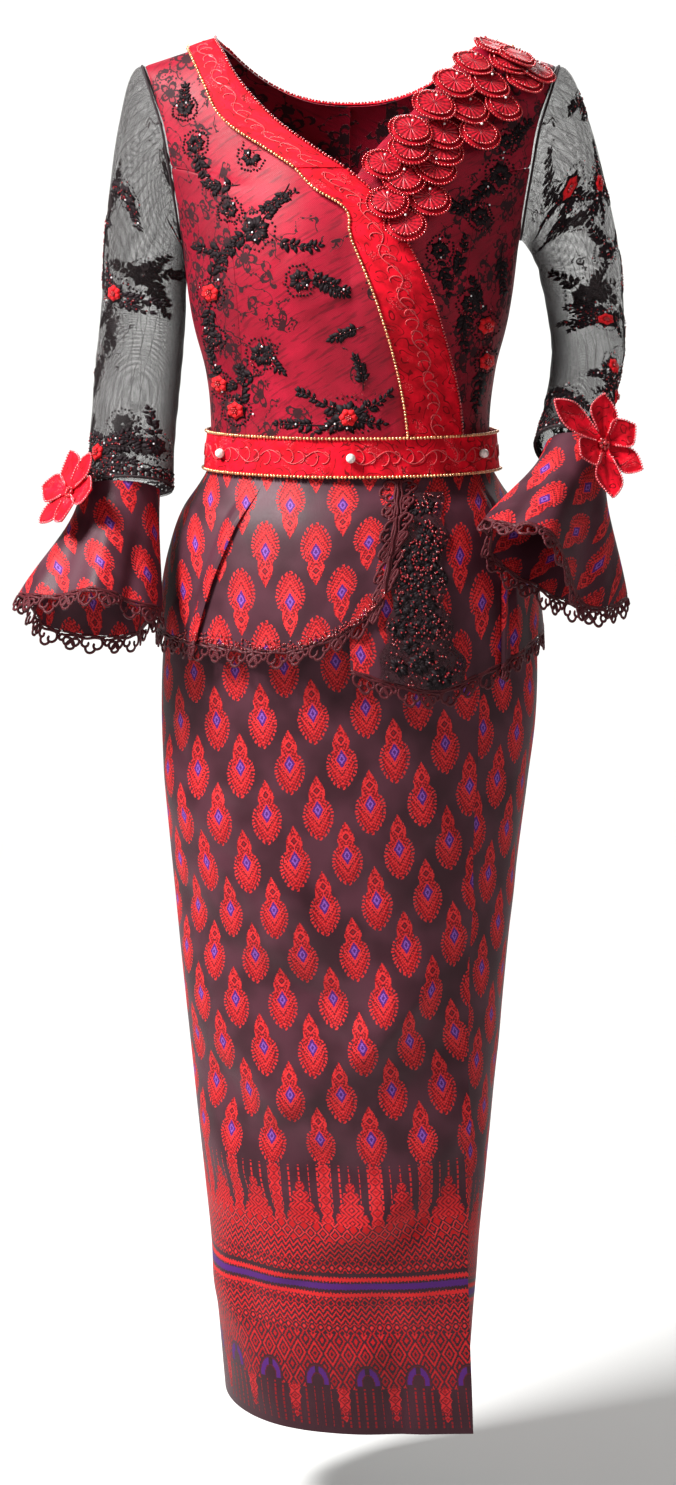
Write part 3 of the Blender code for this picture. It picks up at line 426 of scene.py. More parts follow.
def lace_pattern(start, u, v, cover):
    """Lace worked into the net: flowers of five lobes with open eyelets, on vines with small leaves.

    1 on its dense parts. cover, from 0 to 1, says how much of the net they fill.
    """
    spot = start.place(u, v, 0)
    cell = spot.node("ShaderNodeTexVoronoi", {"Vector": spot, "Scale": 1 / 34, "Randomness": 0.9}, out=2)
    middle = cell.node("ShaderNodeSeparateXYZ", [cell])
    du, dv = u - middle, v - Wire(start.tree, middle.socket.node.outputs[1])
    reach = (du * du + dv * dv).power(0.5)
    turn = start.math("ARCTAN2", dv, du)
    lobe = (turn * 2.5 + middle).sine().size()
    grain = spot.noise(0.55, 2.0)
    edge = lobe * 6.4 + 4.2 + grain * 4.0
    eyelet = (lobe > 0.55) * (reach / edge).between(0.42, 0.72)
    flower = (reach < edge) * (1 - eyelet * 0.8)
    wander = (spot.noise(0.042, 1.0) - 0.5).size()
    small = spot.node("ShaderNodeTexVoronoi", {"Vector": spot, "Scale": 0.3, "Randomness": 0.9})
    vine = (wander < 0.008).most((wander < 0.045) * (small < 0.36))
    fills = spot.noise(0.02, 1.0) + cover * 0.52
    ring = (reach / edge).between(0.72, 1.0)
    return (flower.most(ring) * (fills > 0.7)).most(vine * (fills > 0.66))


def netted_satin(name, sides):
    """Red satin under black net: crimson cloth with fine dark cells and slanting creases, and black lace
    that thickens towards the sides and over the side panels. The creases' darker streaks are painted shade,
    and the satin is painted darker towards the sides and on the side panels, also as painted shade."""
    made, start, feed = finish(name, Specular_IOR_Level=0.2)
    u, v = cloth_place(start)
    net = net_threads(u, v, 1.5, 0.11)
    stretch = start.place(u * 0.03 + v * 0.03, (v * 0.85 - u * 0.5) * 0.3, 0)
    pulled_and_shaded = stretch.noise(1.0, 2.0, 0.6)
    cloud = start.place(u, v, 0).noise(0.03, 2.0)
    red = cloud.soft(0.3, 0.7).mix((0.31, 0.002, 0.017), (0.46, 0.003, 0.027))
    # Darker streaks along the pulled creases: painted shade.
    red = (pulled_and_shaded.soft(0.52, 0.64) * 0.6).mix(red, (0.11, 0.001, 0.008))
    cover = u.size().soft(30, 120) * 0.35 + sides
    # The satin darkens away from the centre front and on the side panels: painted shade where the body turns
    # away.
    red = (u.size().soft(45, 130) * 0.35 + sides * 0.7).mix(red, (0.13, 0.002, 0.01))
    lace = lace_pattern(start, u, v, cover)
    dark = (net * 0.42).most(lace * 0.94)
    feed(Base_Color=dark.mix(red, (0.01, 0.004, 0.006)),
         Roughness=0.44 + cloud * 0.12 + lace * 0.2,
         Normal=bump(start, pulled_and_shaded * 0.5 + net * 0.15 + lace * 0.5, 0.0006, 0.7))
    return made


def cloth(name, outer, facing, thick, uv, look, nodes, closed=False):
    """A cloth shell: the outer grid, the same grid moved in by the thickness, and a rim that joins them.

    uv is each point's place on the flat cloth in metres, with one more column on a closed tube.
    """
    rows, columns = outer.shape[:2]
    inner = outer - facing * thick
    size = rows * columns
    r, c = np.meshgrid(np.arange(rows - 1), np.arange(columns if closed else columns - 1), indexing="ij")
    d = (c + 1) % columns
    quads = np.stack([r * columns + c, r * columns + d, (r + 1) * columns + d, (r + 1) * columns + c], -1)
    corners = np.stack([uv[r, c], uv[r, c + 1], uv[r + 1, c + 1], uv[r + 1, c]], -2)
    quads, corners = quads.reshape(-1, 4), corners.reshape(-1, 4, 2)
    points = np.concatenate([outer.reshape(-1, 3), inner.reshape(-1, 3)])
    normal = np.cross(points[quads[:, 2]] - points[quads[:, 0]], points[quads[:, 3]] - points[quads[:, 1]])
    if (normal * facing.reshape(-1, 3)[quads[:, 0]]).sum() < 0:
        quads, corners = quads[:, ::-1], corners[:, ::-1]
    first, second = quads.ravel(), np.roll(quads, -1, axis=1).ravel()
    rim = ~np.isin(second * size + first, first * size + second)
    a, b = first[rim], second[rim]
    edge_uv = corners.reshape(-1, 2)[rim]
    next_uv = np.roll(corners, -1, axis=1).reshape(-1, 2)[rim]
    sides = np.stack([b, a, a + size, b + size], -1)
    side_uv = np.stack([next_uv, edge_uv, edge_uv, next_uv], 1)
    faces = np.concatenate([quads, quads[:, ::-1] + size, sides])
    flat = np.concatenate([corners, corners[:, ::-1], side_uv]).reshape(-1, 2)
    made = mesh_piece(name, points, faces.tolist(), look, nodes, sharp=1.0)
    layer = made.data.uv_layers.new(name="cloth")
    layer.data.foreach_set("uv", flat.astype(np.float32).ravel())


def mesh_piece(name, points, faces, look, nodes=(), sharp=None):
    """A piece from points and faces, which rides on the outfit and stands for the named CAD nodes."""
    mesh = bpy.data.meshes.new(name)
    mesh.from_pydata(np.asarray(points).tolist(), [], faces)
    mesh.shade_smooth()
    if sharp:
        mesh.set_sharp_from_angle(angle=sharp)
    mesh.materials.append(look)
    made = bpy.data.objects.new(name, mesh)
    scene.collection.objects.link(made)
    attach(made, "root")
    if nodes:
        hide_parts(*nodes)
    return made


def between_edges(lefts, rights, columns):
    """Angles from a left edge to a right edge, kept half a seam's gap inside both."""
    trim = SEAM / 2 / SEAM_GIRTH
    shares = np.linspace(0, 1, columns)
    return (lefts + trim)[:, None] * (1 - shares) + (rights - trim)[:, None] * shares


def back_neck(share, drop=SHOULDER - BACK_NECK):
    """The height of the back neckline, at a share of the way from the centre to the neck's side."""
    return SHOULDER - drop * (1 - np.clip(np.abs(share), 0, 1) ** 2.4)


def bodice():
    """The panels: each fills the space between two cut lines, and its seam edges turn in a little."""
    centre_look = netted_satin("red satin under black lace", 0.16)
    # The side panels' look carries denser lace and more of the painted shade.
    side_look = netted_satin("red satin under dense lace", 0.4)

    def panel(node, angles, heights, look, lap=0.0):
        """One panel over a grid of angles and heights, with its seam edges rolled in."""
        angles, heights = np.broadcast_arrays(angles, heights)
        wide = np.abs(angles[:, -1:] - angles[:, :1]) * GIRTH
        shares = np.linspace(0, 1, angles.shape[1])
        roll = np.exp(-(shares * wide / ROLL_WIDE) ** 2) + np.exp(-((1 - shares) * wide / ROLL_WIDE) ** 2)
        outer = body_at(angles, heights, lap - ROLL_DEEP * roll)
        uv = np.stack([angles * GIRTH, heights], -1)
        cloth(f"{node}_cloth", outer, facing_of(torso, angles, heights), SATIN_SHELL, uv, look, [node])

    full = np.concatenate([np.linspace(0, PRINCESS_TOP, 64), np.linspace(PRINCESS_TOP, SHOULDER, 32)[1:]])
    low = full[full <= PRINCESS_TOP]
    quarter = math.pi / 2
    outer_edge = np.where(full <= ARMPIT, quarter, angle_at(along(ARMHOLE, "across", full), full))
    princess = angle_at(along(PRINCESS, "across", low), low)
    centre_edge = np.concatenate([princess, outer_edge[len(low):]])
    level = (low - 0.0008 * (low == low[-1]))[:, None]
    panel("bodice_front_right_side", between_edges(-outer_edge[:len(low)], -princess, 28), level, side_look)
    panel("bodice_front_left_side", between_edges(princess, outer_edge[:len(low)], 28), level, side_look)
    cross = angle_at(along(CROSS_EDGE, "across", full), full)
    angles = between_edges(-centre_edge, cross, 70)
    panel("bodice_front_right_centre", angles, full[:, None], centre_look,
          front_lap(torso(angles, full[:, None])[..., 0]))
    under = angle_at(np.full(len(full), LAP_UNDER), full)
    neck = angle_at(along(LEFT_NECK, "across", full), full)
    free = np.where(full < LEFT_NECK["height"][0], under, neck)
    panel("bodice_front_left_centre", between_edges(free, centre_edge, 56), full[:, None], centre_look)
    columns = 60
    shares = np.linspace(0, 1, columns)
    top = back_neck(np.sin(shares * 1.12) * 0.2 / NECK_HALF)
    raised = ARMPIT + (full[:, None] - ARMPIT) * (top - ARMPIT) / (SHOULDER - ARMPIT)
    levels = np.where((full <= ARMPIT)[:, None], full[:, None], raised)
    turns = between_edges(np.zeros(len(full)), outer_edge, columns)
    for side, way in (("right", -1), ("left", 1)):
        panel(f"bodice_back_{side}", way * (math.pi - turns), levels, centre_look)


bodice()


# The bands: bright red velvet, 3 cm wide, sewn along the blouse's free edges, with a shiny corded scroll and
# a row of small beads on each edge. One runs round the neck and down the crossing edge to the belt, and one
# closes the back of the neck.
BAND, BAND_GAP, BELT_HALF = 0.002, 0.0015, 0.0165
# The velvet's thin shell, the height of the V's point, and the half length and the width of the back's band.
VELVET_SHELL, V_HEIGHT, BACK_BAND_HALF, BACK_BAND_WIDE = BAND * 0.8, 0.243, 0.142, 0.026
SCROLL_REPEAT, SCROLL_CORD = 0.04, 0.00055
BAND_BEADS = {"spacing": 0.003, "radius": 0.0013, "pair": 0.06}
BAND_EDGE = table(
    "height across", (0.0, 0.049), (0.05, 0.043), (0.108, 0.0302), (0.14, 0.02), (0.167, 0.009),
    (0.19, -0.0013), (0.2148, -0.015), (0.219, -0.0266), (0.2372, -0.0515), (0.259, -0.0763),
    (0.2854, -0.1087), (0.3184, -0.126), (0.337, -0.134), (0.355, -0.142),
)


def velvet(name, colour, light):
    """Short-piled velvet: deep red with a brighter crushed bloom in drifting patches, and a soft sheen.

    colour is the velvet's shaded tone and light its lit tone, so the patches are partly crushed pile and
    partly painted light and shade.
    """
    made, start, feed = finish(name, Specular_IOR_Level=0.12, Sheen_Weight=0.12, Sheen_Roughness=0.35,
                               Sheen_Tint=(1, 0.1, 0.12, 1))
    u, v = cloth_place(start)
    spot = start.place(u, v, 0)
    crush_and_painted_light = spot.noise(0.07, 3.0, 0.5)
    pile = spot.noise(1.6, 2.0)
    curls = ((spot.noise(0.045, 1.0) * 9).part() < 0.17) * (spot.noise(0.11, 1.0) > 0.46)
    sprigs = (spot.noise(0.9, 1.0) > 0.6) * spot.noise(0.055, 1.0).soft(0.56, 0.66)
    # The crushed patches blend a shaded and a lit red: painted light and shade as well as crushed pile.
    tone = curls.mix(crush_and_painted_light.soft(0.38, 0.64).mix(colour, light), [c * 0.42 for c in colour])
    feed(Base_Color=(sprigs * 0.6).mix(tone, (0.9, 0.12, 0.14)),
         Roughness=0.6 + pile * 0.25,
         Normal=bump(start, crush_and_painted_light * 0.8 + pile * 0.2, 0.0009, 0.9))
    return made


red_velvet = velvet("bright red velvet", (0.4, 0.001, 0.008), (0.7, 0.002, 0.016))


def band_slant(heights):
    """How much lower the band's outer edge is read near the point of the V, so its end is cut square."""
    return 0.01 * np.exp(-((heights - V_HEIGHT) / 0.022) ** 2)


def front_band_grid(heights, columns=14):
    """The outer face of the band at some heights, and the way that it faces."""
    left = angle_at(along(BAND_EDGE, "across", heights - band_slant(heights)), heights)
    right = angle_at(along(CROSS_EDGE, "across", heights), heights)
    angles = between_edges(left, right, columns)
    level = np.broadcast_to(heights[:, None], angles.shape)
    lap = front_lap(torso(angles, level)[..., 0])
    crown = 0.0007 * np.sin(math.pi * np.linspace(0, 1, columns)) ** 0.5
    facing = facing_of(torso, angles, level)
    return torso(angles, level) + facing * (lap + BAND_GAP + BAND + crown)[..., None], facing


def lengths(points):
    """How far along a line each of its points is."""
    return np.concatenate([[0], np.cumsum(np.linalg.norm(np.diff(points, axis=0), axis=1))])


def flat_map(grid, closed=False, plumb=None):
    """Each grid point's place on the flat cloth: along its row from the row's middle, or from where the row
    passes plumb, a distance across, and down its column."""
    ends = np.concatenate([grid, grid[:, :1]], axis=1) if closed else grid
    steps = np.linalg.norm(np.diff(ends, axis=1), axis=2)
    u = np.concatenate([np.zeros((len(ends), 1)), np.cumsum(steps, axis=1)], axis=1)
    if plumb is None:
        u = u - u[:, -1:] / 2
    else:
        nearest = np.abs(ends[..., 0] - plumb).argmin(axis=1)
        row = np.arange(len(ends))
        past = (ends[row, nearest, 0] - plumb) * np.sign(ends[:, -1, 0] - ends[:, 0, 0])
        u = u - (u[row, nearest] - past)[:, None]
    falls = np.linalg.norm(np.diff(ends, axis=0), axis=2).mean(axis=1)
    v = np.concatenate([[0], np.cumsum(falls)])[:, None] + np.zeros_like(u)
    return np.stack([u, v], -1)


def read_line(points, run, at):
    """A line's points, or vectors that stand at them, read at distances along it."""
    return np.stack([np.interp(at, run, points[:, k]) for k in range(3)], axis=-1)


def round_template(rings, segments):
    """A small ball as rings of points between two poles."""
    turns = np.arange(segments) * 2 * math.pi / segments
    points, faces = [(0, 0, 1.0)], []
    for k in range(1, rings):
        out, up = math.sin(math.pi * k / rings), math.cos(math.pi * k / rings)
        points += [(out * math.cos(t), out * math.sin(t), up) for t in turns]
    points.append((0, 0, -1.0))
    last = len(points) - 1
    for s in range(segments):
        n = (s + 1) % segments
        faces.append((0, 1 + s, 1 + n))
        for k in range(rings - 2):
            a = 1 + k * segments
            faces.append((a + s, a + segments + s, a + segments + n, a + n))
        a = 1 + (rings - 2) * segments
        faces.append((a + s, last, a + n))
    return np.array(points), faces


def repeat_shape(points, faces, many):
    """The faces of many copies of a shape, whose points stand one copy after another."""
    count = len(points)
    return [tuple(i + k * count for i in face) for k in range(many) for face in faces]


def beads(name, centres, radius, look, nodes=(), rings=4, segments=6):
    """Small round beads, joined in one piece. The radius may differ from bead to bead."""
    points, faces = round_template(rings, segments)
    radius = np.broadcast_to(radius, len(centres))
    placed = centres[:, None] + points[None] * radius[:, None, None]
    faces = repeat_shape(points, faces, len(centres))
    return mesh_piece(name, placed.reshape(-1, 3), faces, look, nodes)


def glass(name, colour, rough, metal=0.0):
    """Glossy beads whose colour varies a little from bead to bead."""
    made, start, feed = finish(name, Coat_Weight=0.6, Coat_Roughness=0.08, Metallic=metal)
    spot = start.node("ShaderNodeTexCoord", out=3)
    mottle = spot.noise(260.0, 1.0)
    feed(Base_Color=mottle.soft(0.35, 0.65).mix([c * 0.55 for c in colour], colour),
         Roughness=rough + mottle * 0.15)
    return made


gold_beads = glass("pale gold beads", (0.8, 0.36, 0.16), 0.18, 0.55)
red_beads = glass("dark red beads", (0.5, 0.008, 0.014), 0.12)
pearl_look = glass("pearl", (0.93, 0.85, 0.8), 0.16)


def bead_row(line, facing, spacing, radius, pair=0.0):
    """Centres of beads along a line; pair adds a wider gap after each two."""
    run = lengths(line)
    at = np.arange(spacing / 2, run[-1], spacing)
    at = at + pair * np.where(np.arange(len(at)) % 2, -1, 1) * spacing
    return read_line(line, run, at) + unit(read_line(facing, run, at)) * (radius * 0.7)


def strokes(name, paths, facing, radius, look, nodes=(), sides=5, flat=1.0):
    """Cords laid on a surface: a ring of points carried along each path, thinner at its ends and closed.

    paths and facing are arrays of paths by points by 3. flat squeezes the cord towards the surface.
    """
    ahead = unit(np.gradient(paths, axis=1))
    side = unit(np.cross(ahead, facing))
    up = np.cross(side, ahead)
    many, steps = paths.shape[:2]
    taper = np.ones(steps)
    taper[0] = taper[-1] = 0.35
    turn = np.arange(sides) * 2 * math.pi / sides
    ring = side[:, :, None] * np.cos(turn)[:, None] + up[:, :, None] * np.sin(turn)[:, None] * flat
    points = paths[:, :, None] + ring * (radius * taper)[None, :, None, None]
    faces = []
    for k in range(steps - 1):
        for s in range(sides):
            n = (s + 1) % sides
            faces.append((k * sides + s, k * sides + n, (k + 1) * sides + n, (k + 1) * sides + s))
    faces.append(tuple(reversed(range(sides))))
    faces.append(tuple((steps - 1) * sides + s for s in range(sides)))
    template = points[0].reshape(-1, 3)
    return mesh_piece(name, points.reshape(-1, 3), repeat_shape(template, faces, many), look, nodes)


def cord_look(name, colour, rough=0.35):
    """Twisted shiny cord: fine slanting ridges, with painted shade darkening the hollows between them."""
    made, start, feed = finish(name, Specular_IOR_Level=0.3)
    spot = start.node("ShaderNodeTexCoord", out=3)
    twist_and_shade = spot.node("ShaderNodeTexWave", {"Vector": spot, "Scale": 320.0, "Distortion": 2.0, "Detail": 1.0},
                      out=1, wave_type="BANDS", bands_direction="DIAGONAL")
    # The hollows between the ridges are darkened: painted shade.
    feed(Base_Color=twist_and_shade.mix([c * 0.5 for c in colour], colour), Roughness=rough + twist_and_shade * 0.15,
         Normal=bump(start, twist_and_shade, 0.0003, 0.7))
    return made


scroll_cord = cord_look("shiny pale red cord", (0.7, 0.06, 0.07), 0.3)


def scroll_paths(length, repeat, half):
    """A running leaf scroll on a straight strip, as paths in along and across: a wavy stem, and for each
    half repeat two curled leaves that bend away from it."""
    paths = []
    t = np.linspace(0, 1, 15)
    for k in range(int(length / repeat * 2)):
        start, way = k * repeat / 2, 1 if k % 2 else -1
        paths.append(np.stack([start + t * repeat / 2, way * half * 0.45 * np.sin(math.pi * t)], -1))
        for lean, reach in ((0.3, 0.95), (0.75, 0.8)):
            turn = math.pi * (1.15 * t)
            x = start + repeat / 2 * lean + repeat * 0.13 * np.sin(turn) * (1 - 0.35 * t)
            y = way * half * (0.4 - reach * (1 - np.cos(turn)) / 2)
            paths.append(np.stack([x, y], -1))
    return np.array(paths)


def on_strip(grid, facing, paths, lift):
    """Carries paths in along and across onto a strip, whose rows run along it and whose columns cross it."""
    middle = grid.shape[1] // 2
    run = lengths(grid[:, middle])
    wide = np.linalg.norm(grid[:, -1] - grid[:, 0], axis=-1)
    at = np.interp(paths[..., 0], run, np.arange(len(run)))
    share = paths[..., 1] / np.interp(at, np.arange(len(run)), wide) + 0.5
    return on_grid(grid, facing, at, np.clip(share, 0.02, 0.98) * (grid.shape[1] - 1), lift)


def on_grid(grid, facing, row, column, lift, closed=False):
    """Points on a grid at fractional rows and columns, raised by a lift, and the way that it faces there."""
    rows, columns = grid.shape[:2]
    r = np.clip(row, 0, rows - 1.001)
    c = column % columns if closed else np.clip(column, 0, columns - 1.001)
    r0, c0 = np.floor(r).astype(int), np.floor(c).astype(int)
    c1 = (c0 + 1) % columns
    dr, dc = (r - r0)[..., None], (c - c0)[..., None]

    def read(values):
        """Values of the grid's points, read between the four round each place."""
        top = values[r0, c0] * (1 - dc) + values[r0, c1] * dc
        low = values[r0 + 1, c0] * (1 - dc) + values[r0 + 1, c1] * dc
        return top * (1 - dr) + low * dr

    up = unit(read(facing))
    return read(grid) + up * np.asarray(lift)[..., None], up


def bands():
    """The three bands, their corded scrolls, and the beads along both edges."""
    outer_beads, inner_beads, scrolls, ups = [], [], [], []
    spans = {"neck_band": np.linspace(V_HEIGHT + 0.0005, SHOULDER, 60),
             "front_band": np.linspace(BELT_HALF + 0.0008, V_HEIGHT - 0.0005, 110)}
    for name, heights in spans.items():
        grid, facing = front_band_grid(heights)
        cloth(f"{name}_cloth", grid, facing, VELVET_SHELL, flat_map(grid), red_velvet, [name])
        scroll = scroll_paths(lengths(grid[:, 7])[-1], SCROLL_REPEAT, 0.012)
        paths, up = on_strip(grid, facing, scroll, 0.0002)
        scrolls.append(paths)
        ups.append(up)
        for column, found in ((0, outer_beads), (-1, inner_beads)):
            found.append(bead_row(grid[:, column], facing[:, column], **BAND_BEADS))
    shares = np.sin(np.linspace(-1, 1, 90) * 1.45) / math.sin(1.45)
    rows, levels = [], []
    for step in np.linspace(0, 1, 10):
        half = NECK_HALF + (BACK_BAND_HALF - NECK_HALF) * step
        level = back_neck(shares, SHOULDER - BACK_NECK + BACK_BAND_WIDE * step)
        rows.append(math.pi - angle_at(half * shares, level))
        levels.append(level)
    angles, levels = np.array(rows), np.array(levels)
    facing = facing_of(torso, angles, levels)
    crown = 0.0007 * np.sin(math.pi * np.linspace(0, 1, 10))[:, None] ** 0.5
    grid = torso(angles, levels) + facing * (BAND + 0.0022 + crown)[..., None]
    cloth("neck_band_back_cloth", grid, facing, VELVET_SHELL, flat_map(grid), red_velvet, ["neck_band_back"])
    across = np.swapaxes(grid, 0, 1)
    up_across = np.swapaxes(facing, 0, 1)
    scroll = scroll_paths(lengths(across[:, 5])[-1], SCROLL_REPEAT, 0.0095)
    paths, up = on_strip(across, up_across, scroll, 0.0002)
    scrolls.append(paths)
    ups.append(up)
    outer_beads.append(bead_row(grid[-1], facing[-1], **BAND_BEADS))
    inner_beads.append(bead_row(grid[0], facing[0], **BAND_BEADS))
    strokes("band_scrolls", np.concatenate(scrolls), np.concatenate(ups), SCROLL_CORD, scroll_cord)
    beads("band_beads_outer", np.concatenate(outer_beads), 0.0014, gold_beads)
    beads("band_beads_inner", np.concatenate(inner_beads), BAND_BEADS["radius"], red_beads)


bands()


# The belt: the same velvet over the waist seam, closed at the back, with gold beads on both edges, a
# corded scroll along it, and a pearl at each of six places.
BELT_PEARLS, BELT_CROWN = 6, 0.0008


def belt():
    """The band, a row of beads on each edge, the scroll along it, and the pearls at equal steps round it."""
    angles = np.linspace(0, 2 * math.pi, 288, endpoint=False)
    heights = np.linspace(-BELT_HALF, BELT_HALF, 12)[:, None]
    across = torso(angles, heights)[..., 0]
    lap = front_lap(across) * ease(np.cos(angles), -0.02, 0.12)
    facing = facing_of(torso, angles, heights, True)
    crown = BELT_CROWN * np.sin(math.pi * np.linspace(0, 1, 12))[:, None] ** 0.5
    sag = 0.0006 * ripple(angles * GIRTH, heights, 0.05, 5)
    out = lap + BAND_GAP + BAND + crown + sag * crown / BELT_CROWN
    grid = torso(angles, heights) + facing * out[..., None]
    cloth("belt_cloth", grid, facing, VELVET_SHELL, flat_map(grid, True), red_velvet, ["belt"],
          closed=True)
    rows = []
    for row in (0, -1):
        line = np.concatenate([grid[row], grid[row, :1]])
        ways = np.concatenate([facing[row], facing[row, :1]])
        rows.append(bead_row(line, ways, 0.0032, 0.0014, pair=0.05))
    beads("belt_beads", np.concatenate(rows), 0.0015, gold_beads)
    strip = np.swapaxes(np.concatenate([grid, grid[:, :1]], 1), 0, 1)
    ways = np.swapaxes(np.concatenate([facing, facing[:, :1]], 1), 0, 1)
    paths, up = on_strip(strip, ways, scroll_paths(lengths(strip[:, 6])[-1], 0.044, 0.0125), 0.0003)
    strokes("belt_scroll", paths, up, SCROLL_CORD, scroll_cord)
    column = (np.arange(BELT_PEARLS) * len(angles)) // BELT_PEARLS
    middle = (grid[5, column] + grid[6, column]) / 2 + facing[5, column] * 0.0036
    nodes = [f"belt_pearl_{i + 1}" for i in range(BELT_PEARLS)]
    beads("belt_pearls", middle, 0.0042, pearl_look, nodes, rings=10, segments=16)


belt()


# The sleeves: long, close-fitting sheer net in one layer, gathered into the armhole, with slanting drag
# folds at the elbow. Black floral lace, dark beads and small red rosettes are sewn on it.
SHEER_SHELL, CAP_ROWS, SLEEVE_ROWS = 0.0004, 27, 74
RIGHT_LINE = table(
    "station x y z radius", (0, -0.183, 0.014, 0.162, 0.0375), (1, -0.1855, 0.016, 0.121, 0.038),
    (2, -0.1885, 0.01, 0.084, 0.0385), (3, -0.192, -0.002, 0.046, 0.0385),
    (4, -0.1945, -0.016, 0.007, 0.038), (5, -0.1955, -0.03, -0.034, 0.0375),
)
LEFT_LINE = table(
    "station x y z radius", (0, 0.2045, 0.014, 0.162, 0.037), (1, 0.2105, 0.016, 0.126, 0.0345),
    (2, 0.2125, 0.008, 0.092, 0.0325), (3, 0.208, -0.013, 0.06, 0.031), (4, 0.1995, -0.04, 0.031, 0.03),
    (5, 0.19, -0.069, 0.003, 0.03),
)
# Drag folds: u is the turn round the sleeve in radians, v the share of the way down it.
RIGHT_DRAG = table(
    "u0 v0 u1 v1 width depth", (0.4, 0.52, 2.6, 0.6, 0.1, -0.0022), (0.5, 0.58, 2.8, 0.67, 0.1, 0.002),
    (0.8, 0.66, 2.4, 0.73, 0.09, -0.002), (1.4, 0.4, 3.0, 0.47, 0.1, -0.0018),
    (3.4, 0.5, 5.6, 0.58, 0.12, -0.002), (3.6, 0.64, 5.4, 0.7, 0.12, 0.0018),
    (0.6, 0.8, 2.8, 0.85, 0.08, -0.0016), (1.0, 0.2, 2.4, 0.3, 0.1, 0.0014),
)
LEFT_DRAG = table(
    "u0 v0 u1 v1 width depth", (0.5, 0.56, 2.7, 0.5, 0.1, -0.0024), (0.4, 0.64, 2.8, 0.57, 0.09, 0.002),
    (0.6, 0.71, 2.6, 0.65, 0.09, -0.0022), (1.2, 0.44, 3.0, 0.38, 0.1, -0.0018),
    (3.5, 0.56, 5.6, 0.5, 0.12, -0.002), (3.4, 0.7, 5.4, 0.64, 0.12, 0.0018),
    (0.8, 0.82, 2.6, 0.79, 0.08, -0.0016), (0.7, 0.24, 2.2, 0.18, 0.1, 0.0014),
)


def armhole_loop(way):
    """The edge of an armhole, from the shoulder down the front to the armpit and up the back."""
    heights = ARMPIT + (SHOULDER - ARMPIT) * np.sin(np.linspace(0, 1, 33) * math.pi / 2) ** 1.2
    edge = np.where(heights <= ARMPIT, math.pi / 2, angle_at(along(ARMHOLE, "across", heights), heights))
    front = torso(way * edge, heights)[::-1]
    back = torso(way * (math.pi - edge), heights)[1:-1]
    return np.concatenate([front, back])


def line_frame(path, way):
    """At each point of a sleeve's middle line: the way along it, the way outwards and the way forwards."""
    ahead = unit(np.gradient(path, axis=0))
    forward = unit(np.array([0.0, -1.0, 0.0]) - (ahead @ np.array([0.0, -1.0, 0.0]))[:, None] * ahead)
    side = np.cross(ahead, forward)
    side = side * np.sign(side @ np.array([way, 0.0, 0.0]))[:, None]
    return ahead, side, forward


def turns_of(loop):
    """How far round each point of the armhole is, as an angle, by its distance along the edge."""
    steps = np.linalg.norm(np.roll(loop, -1, axis=0) - loop, axis=1)
    half = len(loop) // 2
    first = np.concatenate([[0], np.cumsum(steps[:half])])
    second = np.cumsum(steps[half:])[:-1]
    return np.concatenate([math.pi * first / first[-1], math.pi * (1 + second / steps[half:].sum())])


def tube_facing(grid):
    """The way that each point of a closed tube's grid faces, turned away from the tube's middle line."""
    wide = np.concatenate([grid[:, -1:], grid, grid[:, :1]], axis=1)
    found = unit(np.cross(np.gradient(wide, axis=1)[:, 1:-1], np.gradient(grid, axis=0)))
    middle = grid.mean(axis=1, keepdims=True)
    return found if ((grid - middle) * found).sum() > 0 else -found


def sleeve_form(line, way, drag):
    """The outer face of a sleeve: the cap grows out of the armhole as a smooth curve, then rings follow its
    middle line. Puckers stand round the cap's head, and drag folds cross the elbow."""
    loop = armhole_loop(way)
    turn = turns_of(loop)
    stations = np.linspace(0, line["station"][-1], SLEEVE_ROWS)
    path = np.stack([along(line, axis, stations) for axis in "xyz"], axis=-1)
    radius = along(line, "radius", stations)[:, None, None]
    ahead, side, forward = line_frame(path, way)
    spoke = np.cos(turn)[None, :, None] * side[:, None] + np.sin(turn)[None, :, None] * forward[:, None]
    rings = path[:, None] + spoke * radius
    start = loop + np.array([way * 0.0006, 0, 0])
    reach = np.linalg.norm(rings[0] - start, axis=1)[:, None]
    outwards = np.array([way, 0, 0]) + np.cos(turn)[:, None] * np.array([0, 0, 0.25])
    leave = unit(outwards) * reach * (0.3 + 0.05 * np.cos(turn)[:, None])
    arrive = ahead[0] * reach
    cap = []
    for t in np.linspace(0, 1, CAP_ROWS)[:-1]:
        cap.append((1 + 2 * t) * (1 - t) ** 2 * start + t * (1 - t) ** 2 * leave
                   + t * t * (3 - 2 * t) * rings[0] + t * t * (t - 1) * arrive)
    grid = np.concatenate([np.array(cap), rings])
    share = np.linspace(0, 1, len(grid))[:, None]
    folds = creases(drag, turn[None, :], share) + 0.0005 * ripple(turn[None, :] * 0.037, share * 0.3, 0.03, 7)
    puckers = 0.0012 * np.sin(turn * 19) * np.clip(np.cos(turn), 0, 1) ** 0.7
    folds = folds + puckers * ease(share, 0.0, 0.03) * ease(share, 0.16, 0.04)
    folds = folds * ease(share, 0.0, 0.03) * ease(share, 1.0, 0.97)
    facing = tube_facing(grid)
    grid = grid + facing * folds[..., None]
    return grid, tube_facing(grid), ahead[-1], side[-1], forward[-1]


